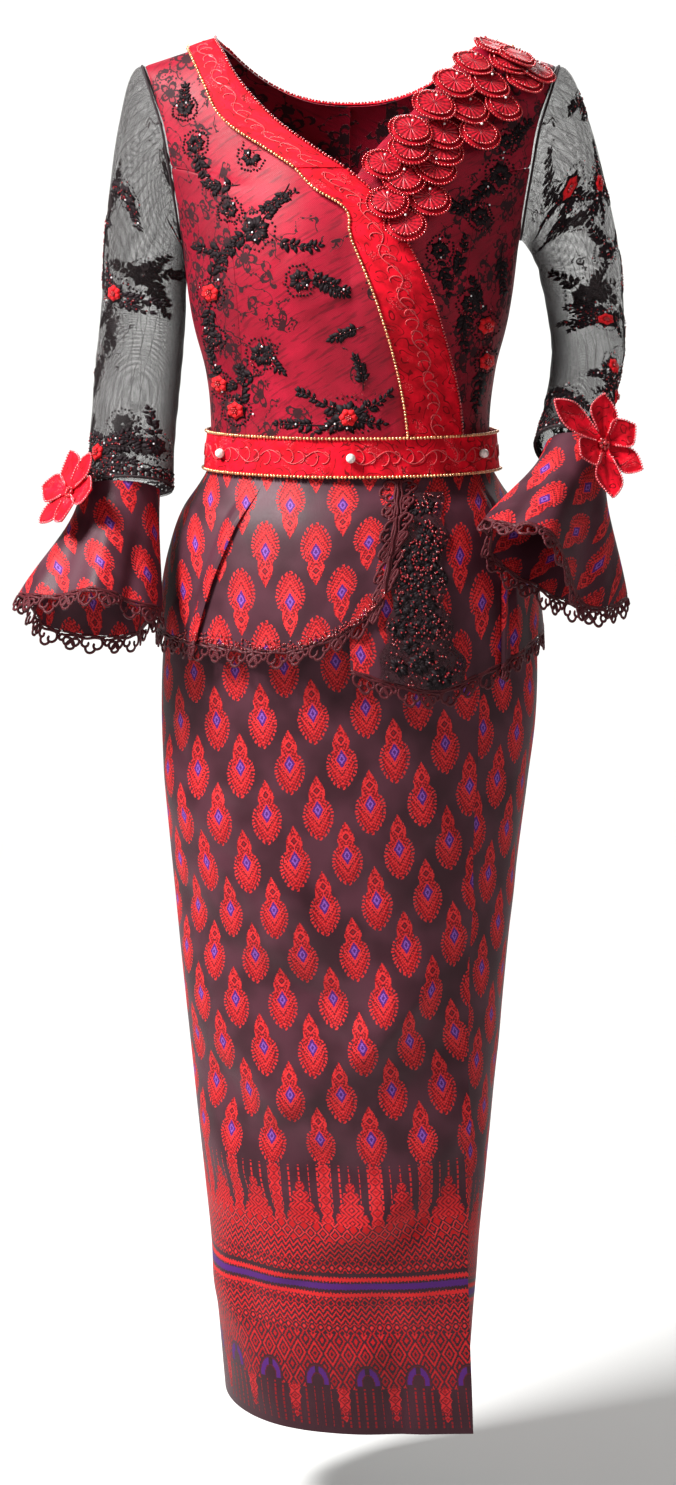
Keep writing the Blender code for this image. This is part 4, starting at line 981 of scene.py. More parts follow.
def sheer_net(name):
    """Black net with open cells, and black lace worked into it that thickens towards the cuff. Along the
    underarm the net is made denser, partly for its seam and partly as painted shade on the sleeve's inner
    side.
    """
    made, start, feed = finish(name, Roughness=0.6, Specular_IOR_Level=0.2)
    u, v = cloth_place(start)
    cloud = start.place(u, v, 0).noise(0.05, 2.0)
    threads = net_threads(u, v, 1.05, 0.105)
    lace = lace_pattern(start, u, v, v.soft(110, 270) * 0.14)
    sway = cloud * 1.5 + v * 0.035
    drag = ((u + sway * 3) / 8.5).fold().soft(0.4, 0.5) * start.place(u * 0.05, v * 0.012, 0).noise(1.0)
    # A denser, darker band along the underarm: partly the seam, partly painted shade on the sleeve's inner
    # side.
    seam = (1 - u.size().soft(6, 44)) * v.soft(20, 70)
    feed(Base_Color=cloud.mix((0.006, 0.004, 0.005), (0.018, 0.011, 0.011)),
         Alpha=(threads * 0.8).most(lace * 0.96).most(drag * 0.5).most(seam * 0.62 + 0.04))
    return made


net_look = sheer_net("sheer black net")
sleeve_forms = {}
for side, line, drag, way in (("right", RIGHT_LINE, RIGHT_DRAG, -1), ("left", LEFT_LINE, LEFT_DRAG, 1)):
    grid, facing, ahead, out, forward = sleeve_form(line, way, drag)
    sleeve_forms[side] = (grid, facing, ahead, out, forward)
    cloth(f"sleeve_{side}_net", grid, facing, SHEER_SHELL, flat_map(grid, True), net_look, [f"sleeve_{side}"],
          closed=True)


# The armhole seams are bound with black cord, and so are the seams where the sleeves meet the cuffs. A thin
# red cord is stitched over the centre back seam.
def seam_cord(name, loops, facings, radius):
    """Cords along closed seams, which pass their first two points again to close."""
    paths = [np.concatenate([loop, loop[:2]]) for loop in loops]
    ways = [np.concatenate([facing, facing[:2]]) for facing in facings]
    strokes(name, np.array(paths), np.array(ways), radius, seam_thread, sides=7)


seam_thread = cord_look("black seam cord", (0.02, 0.01, 0.012), 0.6)
heights = np.linspace(0.004, 0.298, 40)
line = torso(math.pi, heights) + np.array([0, -0.0012, 0])
strokes("back_seam_cord", line[None], np.broadcast_to((0.0, 1.0, 0.0), line.shape)[None], 0.0012,
        cord_look("red seam thread", (0.3, 0.003, 0.015), 0.6), flat=0.4)
grids, ways = zip(*(form[:2] for form in sleeve_forms.values()))
seam_cord("armhole_cords", [grid[1] for grid in grids], [way[1] for way in ways], 0.0011)
seam_cord("sleeve_end_cords", [grid[-2] for grid in grids], [way[-2] for way in ways], 0.0013)


# The bell cuffs, the peplum and the skirt are one brocade: a plum satin ground with rows of flame-shaped
# motifs in red with violet diamonds, woven in small steps. It points down on the cuffs and the peplum.
# The ground's two tones are a shaded and a lit copy of one colour, blended in soft patches as painted light
# and shade.
GROUND_SHADED, GROUND_LIT = (0.032, 0.007, 0.012), (0.062, 0.016, 0.026)
FLAME, FLAME_LIGHT, FLAME_DARK = (0.32, 0.002, 0.005), (0.54, 0.018, 0.02), (0.07, 0.003, 0.008)
VIOLET, VIOLET_LIGHT = (0.06, 0.008, 0.115), (0.19, 0.06, 0.31)
# In millimetres: the repeat across and down, the stitch, and the motif's tip above its middle, its length and
# its widest half. Its outline is the half width in shares of the widest, from the tip at 0 to the foot at 1.
REPEAT, STITCH = (46.5, 87.0), 0.85
FLAME_TIP, FLAME_LONG, FLAME_HALF = 30, 59, 14
FLAME_SHAPE = [(0.0, 0.0), (0.08, 0.18), (0.18, 0.42), (0.27, 0.53), (0.38, 0.5), (0.45, 0.84), (0.6, 1.0),
               (0.76, 0.9), (0.91, 0.56), (1.0, 0.1)]


def flame(x, y):
    """The motif's parts, from a place in millimetres round its middle: its body, light lines, the diamond's
    violet, its lighter heart, and dark gaps. A narrow head stands on a round foot with a fringe of rays, and
    two light lines rise from under the diamond to the foot's shoulders."""
    wide = x.size()
    share = (FLAME_TIP - y) / FLAME_LONG
    curve = share.node("ShaderNodeValToRGB", [share], stops=[(at, (w, w, w)) for at, w in FLAME_SHAPE])
    depth = curve * FLAME_HALF - wide
    ray = (x.math("ARCTAN2", x, y + 6) * 4.3).part() < 0.56
    body = (depth - (1 - ray) * (share > 0.42) * 3.2).between(0.0, 30.0) * share.between(0.0, 1.0)
    rise = y - wide * 1.5
    heart = wide / 5.0 + (y + 1.3).size() / 8.4
    bud = wide / 4.4 + (y - 16).size() / 5.0
    open_part = (heart > 1.34) * (bud > 1.2)
    one, two = (y * 0.34 + wide * 0.19).part(), (wide * 0.34 - y * 0.17).part()
    grain, pits = (one < 0.46) * (two < 0.5), (one > 0.55) * (two > 0.46)
    light = (grain * open_part).most(rise.between(-14.6, -12.4) * (heart > 1.2))
    light = light.most(rise.between(-20.6, -19.2)).most(heart.between(1.0, 1.3)).most(bud.between(0.72, 1.15))
    light = light.most(depth.between(0.0, 2.4) * ray * 0.8)
    gap = (pits * open_part * 0.85).most(rise.between(-16.4, -14.6) * (wide > 1))
    gap = gap.most(bud.between(0.36, 0.72)).most(depth.between(3.0, 4.0) * 0.7).most(heart.between(1.3, 1.5))
    return body, light, heart < 1.0, heart.between(0.3, 0.58), gap * (1 - light)


def brocade(name, points_up, border=False):
    """The cloth's finish: motifs on a half-drop lattice, satin ground with painted light and shade in soft
    patches, threads in small steps, and for the skirt the woven border towards the hem."""
    made, start, feed = finish(name, Specular_IOR_Level=0.2)
    u, v = cloth_place(start)
    u1, v1 = ((u / STITCH).low() + 0.5) * STITCH, ((v / STITCH).low() + 0.5) * STITCH
    wide, tall = REPEAT
    y = (0 - v1) if points_up else v1 * 1
    xa, ya = ((u1 / wide).part() - 0.5) * wide, ((y / tall).part() - 0.5) * tall
    xb, yb = ((u1 / wide + 0.5).part() - 0.5) * wide, ((y / tall + 0.5).part() - 0.5) * tall
    near = (xa.size() * (2 / wide) + ya.size() * (2 / tall)) < 1
    far = 1 - near
    body, light, violet, bright, gap = flame(xa * near + xb * far, ya * near + yb * far - 2)
    red, line, purple, lilac, dark = body, light * body, violet * body, bright * body, gap * body
    if border:
        d = v1
        upper = (d < 600).most(far * (d < 640))
        red, line, purple, lilac, dark = (part * upper for part in (red, line, purple, lilac, dark))
        pairs = zip((red, line, purple, dark), border_parts(u1, d, wide))
        red, line, purple, dark = (part.most(more) for part, more in pairs)
    spot = start.place(u, v, 0)
    cloud = spot.noise(0.02, 2.0)
    threads = (u * 1.15).fold() * 2
    floats = start.place(u * 0.9, v * 0.35, 0).noise(1.0, 1.0)
    # Soft patches between the shaded and the lit ground: painted light and shade.
    ground = cloud.soft(0.35, 0.65).mix(GROUND_SHADED, GROUND_LIT)
    bloom = floats.soft(0.35, 0.65).mix(FLAME, [c * 0.72 for c in FLAME])
    if border:
        ground = (d.soft(590, 700) * 0.7).mix(ground, (0.024, 0.004, 0.008))
        bloom = d.soft(770, 880).mix(d.soft(655, 700).mix(bloom, (0.4, 0.003, 0.005)), (0.17, 0.002, 0.005))
    colour = red.mix(ground, bloom)
    colour = (line * (1 - d.soft(770, 885) * 0.5) if border else line).mix(colour, FLAME_LIGHT)
    colour = dark.mix(colour, FLAME_DARK)
    colour = purple.mix(colour, VIOLET)
    colour = lilac.mix(colour, VIOLET_LIGHT)
    raised = red.most(purple)
    feed(Base_Color=colour, Roughness=0.46 + raised * 0.14 + floats * 0.1,
         Normal=bump(start, raised * 0.5 + threads * 0.12 + floats * 0.2, 0.0004, 0.8))
    return made


def border_parts(u, d, wide):
    """The skirt's border, by depth in millimetres: spires and dashes, lattices, a violet stripe between two
    serrated red lines, a lattice with violet arches, and chains that run out to the hem."""
    a = (u / wide + 0.5).fold() * wide
    b = (u / wide).fold() * wide
    beat = (d * 0.115).fold() * 2
    chain = (a + beat * 2.2) < (6.0 - (d - 862).most(0) * 0.28)
    link = a / 3.2 + beat * 1.6
    chain_line = link.between(0.72, 1.12).most(link > 1.75)
    tier = ((d - 640) / 9).low() * 9 + 5
    dome = b < (tier / 44).most(0).power(1.15) * 17 - (d / 9 - 640 / 9).fold() * 3.6
    scale = (b / 4.2 + (d * 0.09).fold() * 3.2).part()
    dash = (b.between(8.6, 9.8).most(b.between(16.6, 17.8))).most(b < 0.7)
    dash = dash * ((d * 0.22).part() < 0.66) * d.between(634, 672)
    spires = d.between(634, 686)
    zig = (u / 7.75).fold() * 2
    tooth = (u / 3.1).fold() * 2
    fine = (d / 5.6 + zig).part()
    cross = zig + (d / 9.6).fold() * 2
    check = (u / 11.625).fold() * 2 + (d / 13.0).fold() * 2
    large = (u / 15.5).fold() * 2 + (d / 26.0 + 0.25).fold() * 2
    top = d.between(684, 702) * ((check < 0.42).most(check.between(0.72, 1.0)).most(check > 1.3))
    dense = (d.between(702, 722).most(d.between(766, 784))) * (fine > 0.54)
    loose = d.between(722, 734).most(d.between(758, 766)).most(d.between(784, 793))
    loose = loose * (cross.between(0.62, 0.98).most(cross > 1.5))
    rails = (d - tooth * 2.0).between(737.5, 741.5).most((d + tooth * 2.0).between(754.5, 758.5))
    stripe = (d + tooth * 1.2).between(745.0, 750.6)
    arch_r = (b * b + (d - 840) * (d - 840) * 0.45).power(0.5)
    arches = arch_r.between(6.0, 10.2) * d.between(818, 842) * (b > 2.0)
    net = large.between(0.2, 0.42).most(large.between(0.66, 0.94))
    net = net.most(large.between(1.2, 1.44)).most(large > 1.74)
    lattice = d.between(793, 846) * net * (1 - (arch_r < 12.4) * d.between(815, 846))
    foot = d.between(846, 878) * chain
    run = d.between(845, 882) * (((u / 7.75).fold() < 0.09) * ((d * 0.25).part() < 0.7))
    red = (spires * chain.most(dome)).most(dash).most(top).most(dense).most(loose).most(rails).most(lattice)
    red = red.most(foot).most(run)
    line = (spires * (chain_line * chain).most(dome * (scale < 0.4)) * 0.6).most(dash * 0.7)
    line = line.most(dense * fine.between(0.62, 0.78)).most(lattice * large.between(0.72, 0.86) * 0.6)
    line = line.most(foot * chain_line).most(top * check.between(0.72, 1.0))
    line = line.most(rails * 0.5).most(loose * (cross > 1.6))
    dark = arch_r.between(5.2, 6.0).most(arch_r.between(10.2, 11.2)) * d.between(816, 842)
    dark = dark.most(spires.most(foot) * chain * link.between(1.12, 1.55) * 0.8)
    dark = dark.most(spires * dome * (1 - chain) * scale.between(0.5, 0.78))
    return red, line * red, stripe.most(arches), dark


brocade_down = brocade("brocade pointing down", False)
brocade_up = brocade("brocade pointing up", True, True)
RIGHT_HEM = table(
    "turn x y z", (0, -0.2928, -0.06, -0.1221), (45, -0.2639, -0.1, -0.1186), (90, -0.2203, -0.12, -0.1107),
    (135, -0.185, -0.115, -0.1219), (180, -0.168, -0.08, -0.1372), (225, -0.193, -0.028, -0.1608),
    (270, -0.2311, 0.0, -0.1704), (315, -0.2757, -0.015, -0.1554), (360, -0.2928, -0.06, -0.1221),
)
LEFT_HEM = table(
    "turn x y z", (0, 0.2426, -0.085, -0.1206), (40, 0.2061, -0.137, -0.1226), (75, 0.1785, -0.17, -0.0704),
    (110, 0.1505, -0.18, -0.0464), (150, 0.1249, -0.166, -0.0481), (190, 0.1159, -0.14, -0.0488),
    (235, 0.1292, -0.125, -0.0835), (270, 0.1634, -0.095, -0.1153), (315, 0.2163, -0.055, -0.1322),
    (360, 0.2426, -0.085, -0.1206),
)
# The brocade's thickness, and how finely a cuff is divided.
BROCADE = 0.0011
CUFF_ROWS, CUFF_COLUMNS = 30, 150


def cuff_form(rows, centre, radius, axes):
    """The outer face of a bell cuff: smooth curves from the sleeve's end to a fluted hem."""
    ahead, side, forward = axes
    turn = np.linspace(0, 360, CUFF_COLUMNS, endpoint=False)
    spoke = np.cos(np.radians(turn))[:, None] * side + np.sin(np.radians(turn))[:, None] * forward
    start = centre + spoke * radius
    hem = np.stack([along(rows, axis, turn) for axis in "xyz"], axis=-1)
    flutes = 0.0045 * np.sin(np.radians(turn * 5)) + 0.0008 * np.sin(np.radians(turn * 13 + 40))
    hem = hem + spoke * flutes[:, None]
    leave = ahead * np.linalg.norm(hem - start, axis=1)[:, None] * 0.9
    grid = []
    for t in np.linspace(0, 1, CUFF_ROWS):
        grid.append((1 + 2 * t) * (1 - t) ** 2 * start + t * (1 - t) ** 2 * leave
                    + t * t * (3 - 2 * t) * hem + t * t * (t - 1) * (hem - start) * 1.15)
    return np.array(grid)


cuff_forms = {}
for side, rows in (("right", RIGHT_HEM), ("left", LEFT_HEM)):
    sleeve, _, ahead, out, forward = sleeve_forms[side]
    middle = sleeve[-1].mean(axis=0)
    radius = np.linalg.norm(sleeve[-1] - middle, axis=1).mean()
    grid = cuff_form(rows, middle + ahead * SEAM, radius, (ahead, out, forward))
    facing = tube_facing(grid)
    cuff_forms[side] = (grid, facing, ahead, out, forward)
    cloth(f"cuff_{side}_cloth", grid, facing, BROCADE, flat_map(grid, True), brocade_down, [f"cuff_{side}"],
          closed=True)


# The peplum: three brocade panels below the belt, with deep knife pleats, one on each front and two at the
# back. The right front crosses over the left one in a curve.
PEPLUM = table(
    "height half_width front back", (0.0, 0.1255, 0.0955, 0.0885), (-0.018, 0.1282, 0.0982, 0.0912),
    (-0.03, 0.135, 0.1035, 0.0975), (-0.05, 0.149, 0.116, 0.113), (-0.09, 0.164, 0.129, 0.129),
    (-0.13, 0.172, 0.137, 0.14), (-0.17, 0.177, 0.143, 0.147), (-0.22, 0.182, 0.148, 0.152),
)
HEM_RIGHT = table(
    "hem_angle hem_height", (-90, -0.158), (-70, -0.16), (-50, -0.161), (-36, -0.163), (-24, -0.163),
    (-14, -0.158), (-5, -0.148), (3, -0.133), (9, -0.115),
)
HEM_LEFT = table(
    "hem_angle hem_height", (0, -0.178), (12, -0.19), (24, -0.198), (38, -0.188), (55, -0.172), (72, -0.163),
    (90, -0.158),
)
HEM_BACK = table(
    "hem_angle hem_height", (90, -0.158), (135, -0.16), (180, -0.161), (225, -0.16), (270, -0.158),
)
PLEAT = {"under": 5.0, "lift": 0.005, "spacing": 0.0021}
# How many fine columns stand between two lines of a panel.
FINE = 7


def ring(rows, angle, height):
    """A point of a lower ring, at an angle from the centre front, in radians."""
    angle, height = np.broadcast_arrays(np.asarray(angle, float), np.asarray(height, float))
    facing = np.cos(angle)
    depth = np.where(facing > 0, along(rows, "front", height), along(rows, "back", height))
    across = along(rows, "half_width", height) * np.sin(angle)
    if "sway" in rows:
        across = across + along(rows, "sway", height)
    return np.stack([across, -depth * facing, height], axis=-1)


def pleat_columns(waist_angle, hem_angle, way):
    """The five columns of one knife pleat: angles at the waist and at the hem, and lift at the hem."""
    under = PLEAT["under"] * way
    top = PLEAT["lift"]
    gap = PLEAT["spacing"]
    return [
        (waist_angle - 2.4 * way, hem_angle - 1.2 * way, top),
        (waist_angle - 1.2 * way, hem_angle, top - 0.4 * gap),
        (waist_angle, hem_angle - under, top - gap),
        (waist_angle + 1.2 * way, hem_angle - under - 0.6 * way, top - 1.5 * gap),
        (waist_angle + 2.4 * way, hem_angle, top - 2.2 * gap),
    ]


def peplum_form(hem, spread, pleats, columns, lap=None):
    """One panel's outer face. spread maps angles at the waist to angles at the hem, pleats add folds, and
    fine columns between the folds' own lines carry soft waves towards the hem."""
    waist, low = np.array(spread, float).T
    plain = np.linspace(waist[0], waist[-1], columns)
    rows = [(w, np.interp(w, waist, low), 0.0) for w in plain]
    for at, way in pleats:
        hem_at = np.interp(at, waist, low)
        rows = [r for r in rows if abs(r[0] - at) > 3.6] + pleat_columns(at, hem_at, way)
        rows.append((at - 6.0 * way, np.interp(at - 6.0 * way, waist, low), PLEAT["lift"] * 0.7))
    lines = np.array(sorted(rows))
    index = np.arange(len(lines))
    at = np.linspace(0, len(lines) - 1, (len(lines) - 1) * FINE + 1)
    top, bottom, lift = (np.interp(at, index, lines[:, k]) for k in range(3))
    shares = np.concatenate([[0.0], np.linspace(0, 1, 44)])[:, None]
    yoke = -BELT_HALF - 0.0015
    heights = yoke + (along(hem, "hem_height", bottom) - yoke) * shares
    heights[0] = -SEAM / 2
    angles = top + (bottom - top) * ease(shares, -0.5, 1.25)
    trim = math.degrees(SEAM / 2 / 0.14)
    angles[:, 0] += trim
    angles[:, -1] -= trim
    out = lift * ease(shares, 0.0, 0.3)
    calm = np.clip(1 - sum(np.exp(-((top - a) / 5.0) ** 2) for a, _ in pleats), 0, 1)
    edge = ease(np.minimum(at, at[-1] - at), 0, FINE * 0.8)
    round_way = angles * 0.0026
    wave = ripple(round_way, heights * 0.5, 0.085, 4) * 0.0022 + ripple(round_way, heights, 0.04, 9) * 0.0006
    out = out + wave * ease(shares, 0.15, 0.8) * (calm * edge)[None, :]
    if lap is not None:
        out = out + lap(ring(PEPLUM, np.radians(angles), heights)[..., 0])
    facing = facing_of(partial(ring, PEPLUM), np.radians(angles), heights, True)
    grid = ring(PEPLUM, np.radians(angles), heights) + facing * out[..., None]
    under = np.zeros(len(at), bool)
    for a, way in pleats:
        under |= (-0.5 < (top - a) * way) & ((top - a) * way < 1.5)
    return grid, facing, unit(grid[-1] - grid[-2]), ~under


peplum_forms = {
    "front_right": peplum_form(HEM_RIGHT, [(-90, -90), (-30, -50), (21, 9)], [(-30, 1)], 12, front_lap),
    "front_left": peplum_form(HEM_LEFT, [(-3, 0), (58, 46), (90, 90)], [(58, -1)], 11),
    "back": peplum_form(HEM_BACK, [(90, 90), (135, 128), (225, 232), (270, 270)], [(142, -1), (218, 1)], 17),
}
for part, plumb in (("front_right", -0.03), ("front_left", 0.095), ("back", 0.0)):
    grid, facing = peplum_forms[part][:2]
    cloth(f"peplum_{part}_cloth", grid, facing, BROCADE, flat_map(grid, False, plumb), brocade_down,
          [f"peplum_{part}"])


# The edging of the cuffs and the peplum: dark red corded cutwork, sewn along the hems. A running cord
# follows the cloth, then curls with open middles alternate with fleurs of three loops. All of it is thread.
EDGING_REPEAT = 0.04
STROKE_POINTS = 22
cutwork_cord = cord_look("dark red corded thread", (0.085, 0.003, 0.008), 0.5)


def curl(x, y, start, sweep, first, last):
    """A spiral stroke round a middle, from one radius to another."""
    t = np.linspace(0, 1, STROKE_POINTS)
    turn, radius = start + sweep * t, first + (last - first) * t
    return np.stack([x + radius * np.cos(turn), y + radius * np.sin(turn)], -1)


def loop(x, y, long, wide, lean):
    """A drop-shaped loop that starts and ends at its foot and leans to one side."""
    t = np.linspace(0, 2 * math.pi, STROKE_POINTS)
    a, b = wide * np.sin(t) * np.sin(t / 2), long * (1 - np.cos(t)) / 2
    cos, sin = math.cos(lean), math.sin(lean)
    return np.stack([x + a * cos + b * sin, y - a * sin + b * cos], -1)


def edging_repeat():
    """The strokes of one repeat, in millimetres along and out from the cloth's edge, brought to metres."""
    t = np.linspace(0, 1, STROKE_POINTS)
    rail = np.stack([40 * t, 1.0 + 0.5 * np.sin(4 * math.pi * t)], -1)
    second = np.stack([40 * t, 3.0 + 0.6 * np.sin(4 * math.pi * t + 2)], -1)
    stem = np.stack([26 + 4 * t, 3 + 3.5 * t], -1)
    return np.array([
        rail, second, stem,
        curl(7.5, 8.2, -1.9, -4.9, 6.0, 1.6), curl(17.0, 7.4, -1.2, 5.0, 5.2, 1.4),
        curl(12.3, 10.6, 0.0, 2.9, 4.8, 4.8),
        loop(30.0, 5.8, 8.6, 4.6, 0.0), loop(30.0, 5.8, 7.2, 4.2, -1.05), loop(30.0, 5.8, 7.2, 4.2, 1.05),
        curl(38.2, 6.4, -1.6, 4.6, 3.4, 1.2),
    ]) / 1000


def edging_paths(border, facing, away):
    """The strokes carried along a cloth's edge, and the way that the cloth faces at each."""
    run = lengths(border)
    repeats = max(1, round(run[-1] / EDGING_REPEAT))
    one = edging_repeat()
    at = (one[None, ..., 0] / EDGING_REPEAT + np.arange(repeats)[:, None, None]) / repeats * run[-1]
    at = np.clip(at, 0, run[-1]).reshape(-1, one.shape[1])
    depth = np.tile(one[..., 1], (repeats, 1)) * 1.12 - 0.0002
    flat = at.ravel()
    start = read_line(border, run, flat).reshape(*at.shape, 3)
    up = unit(read_line(facing, run, flat)).reshape(*at.shape, 3)
    out = unit(read_line(away, run, flat)).reshape(*at.shape, 3)
    wave = 0.001 * np.sin(at * 95)[..., None] * ease(depth, 0.0, 0.015)[..., None]
    return start + out * depth[..., None] - up * (0.0005 + wave), up


def edging_piece(name, border, facing, away, nodes):
    """One length of the edging, as flattened cords along a cloth's border."""
    paths, up = edging_paths(border, facing, away)
    strokes(name, paths, up, 0.00138, cutwork_cord, nodes, flat=0.7)


for side in ("right", "left"):
    grid, facing, _, _, _ = cuff_forms[side]
    away = unit(grid[-1] - grid[-3])
    closed = [np.concatenate([line, line[:1]]) for line in (grid[-1], facing[-1], away)]
    nodes = [f"cuff_edging_{side}_{half}" for half in ("front", "back")]
    edging_piece(f"cuff_edging_{side}_cord", *closed, nodes)
for part, node in (("front_right", "right"), ("front_left", "left"), ("back", "back")):
    grid, facing, down, shown = peplum_forms[part]
    edging_piece(f"peplum_edging_{node}_cord", grid[-1][shown], facing[-1][shown], down[shown],
                 [f"peplum_edging_{node}"])
grid, facing, _, _ = peplum_forms["front_right"]
sideways = unit(grid[1:, -1] - grid[1:, -3])
edging_piece("peplum_edging_front_cord", grid[1:, -1], facing[1:, -1], sideways, ["peplum_edging_front"])
edging_piece("peplum_scroll_cord", grid[1:, -1] + facing[1:, -1] * 0.0012, facing[1:, -1], -sideways, ())


# The skirt: a long narrow sampot. Its front laps over the left panel in a straight free edge, the back
# closes it, and a plain waistband holds them under the belt. Soft folds drag across it at knee height.
SKIRT = table(
    "height half_width front back sway", (-0.02, 0.1235, 0.093, 0.086, 0.0),
    (-0.05, 0.14, 0.105, 0.102, 0.0), (-0.09, 0.155, 0.114, 0.117, 0.0), (-0.13, 0.164, 0.118, 0.127, 0.0),
    (-0.17, 0.169, 0.12, 0.133, 0.0), (-0.236, 0.171, 0.121, 0.136, -0.001),
    (-0.3, 0.1665, 0.1215, 0.134, -0.0035), (-0.382, 0.1585, 0.122, 0.129, -0.005),
    (-0.555, 0.143, 0.122, 0.121, -0.005), (-0.65, 0.1345, 0.1215, 0.118, -0.0045),
    (-0.75, 0.1255, 0.121, 0.115, -0.004), (-0.889, 0.1155, 0.12, 0.111, -0.003),
)
WRAP_EDGE = table(
    "height angle forward sideways", (-0.02, 52, 0.0, 0.0), (-0.17, 42, 0.0, 0.0), (-0.38, 44, 0.002, 0.001),
    (-0.555, 47, 0.01, 0.005), (-0.75, 49, 0.026, 0.015), (-0.9, 50, 0.042, 0.027),
)
SKIRT_TOP, SKIRT_HEM = 0.02, 0.889
FRONT_FOLDS = table(
    "u0 v0 u1 v1 width depth", (-0.155, -0.29, -0.035, -0.415, 0.026, 0.0075),
    (-0.15, -0.4, 0.04, -0.495, 0.026, -0.0075), (0.085, -0.42, -0.06, -0.575, 0.026, 0.0085),
    (-0.135, -0.545, 0.01, -0.64, 0.025, -0.008), (0.095, -0.6, -0.05, -0.72, 0.025, 0.0075),
    (-0.11, -0.69, -0.07, -0.86, 0.021, 0.006), (0.02, -0.75, 0.045, -0.885, 0.022, -0.0055),
    (-0.16, -0.25, -0.09, -0.33, 0.014, -0.0032), (-0.1, -0.46, 0.0, -0.53, 0.013, 0.003),
    (0.02, -0.57, 0.095, -0.51, 0.014, -0.0034), (-0.11, -0.645, -0.02, -0.7, 0.013, 0.003),
    (0.03, -0.7, 0.09, -0.655, 0.013, -0.003), (0.06, -0.3, 0.105, -0.42, 0.016, 0.0034),
    (-0.03, -0.33, 0.05, -0.39, 0.016, -0.0028), (-0.14, -0.345, -0.06, -0.44, 0.012, 0.0026),
    (-0.13, -0.61, -0.03, -0.585, 0.012, -0.0026), (0.06, -0.76, -0.01, -0.83, 0.013, 0.0026),
    (-0.085, -0.76, -0.01, -0.72, 0.014, -0.0028),
)
BACK_FOLDS = table(
    "u0 v0 u1 v1 width depth", (0.3, -0.32, 0.42, -0.42, 0.03, -0.005),
    (0.52, -0.34, 0.44, -0.44, 0.03, -0.0045), (0.32, -0.5, 0.45, -0.56, 0.028, 0.004),
    (0.54, -0.52, 0.46, -0.6, 0.028, 0.004), (0.34, -0.66, 0.4, -0.82, 0.026, -0.004),
    (0.48, -0.62, 0.5, -0.84, 0.028, 0.0045), (0.26, -0.24, 0.33, -0.3, 0.018, -0.0022),
    (0.58, -0.25, 0.52, -0.31, 0.018, -0.0022),
)


def wrap_front(angle, height):
    """The skirt's front surface: its free edge swings forwards and sideways towards the hem."""
    points = ring(SKIRT, angle, height)
    edge = np.radians(along(WRAP_EDGE, "angle", height))
    reach = np.clip(angle / edge, 0, 1) ** 2
    points[..., 0] += reach * along(WRAP_EDGE, "sideways", height)
    points[..., 1] -= reach * along(WRAP_EDGE, "forward", height)
    return points


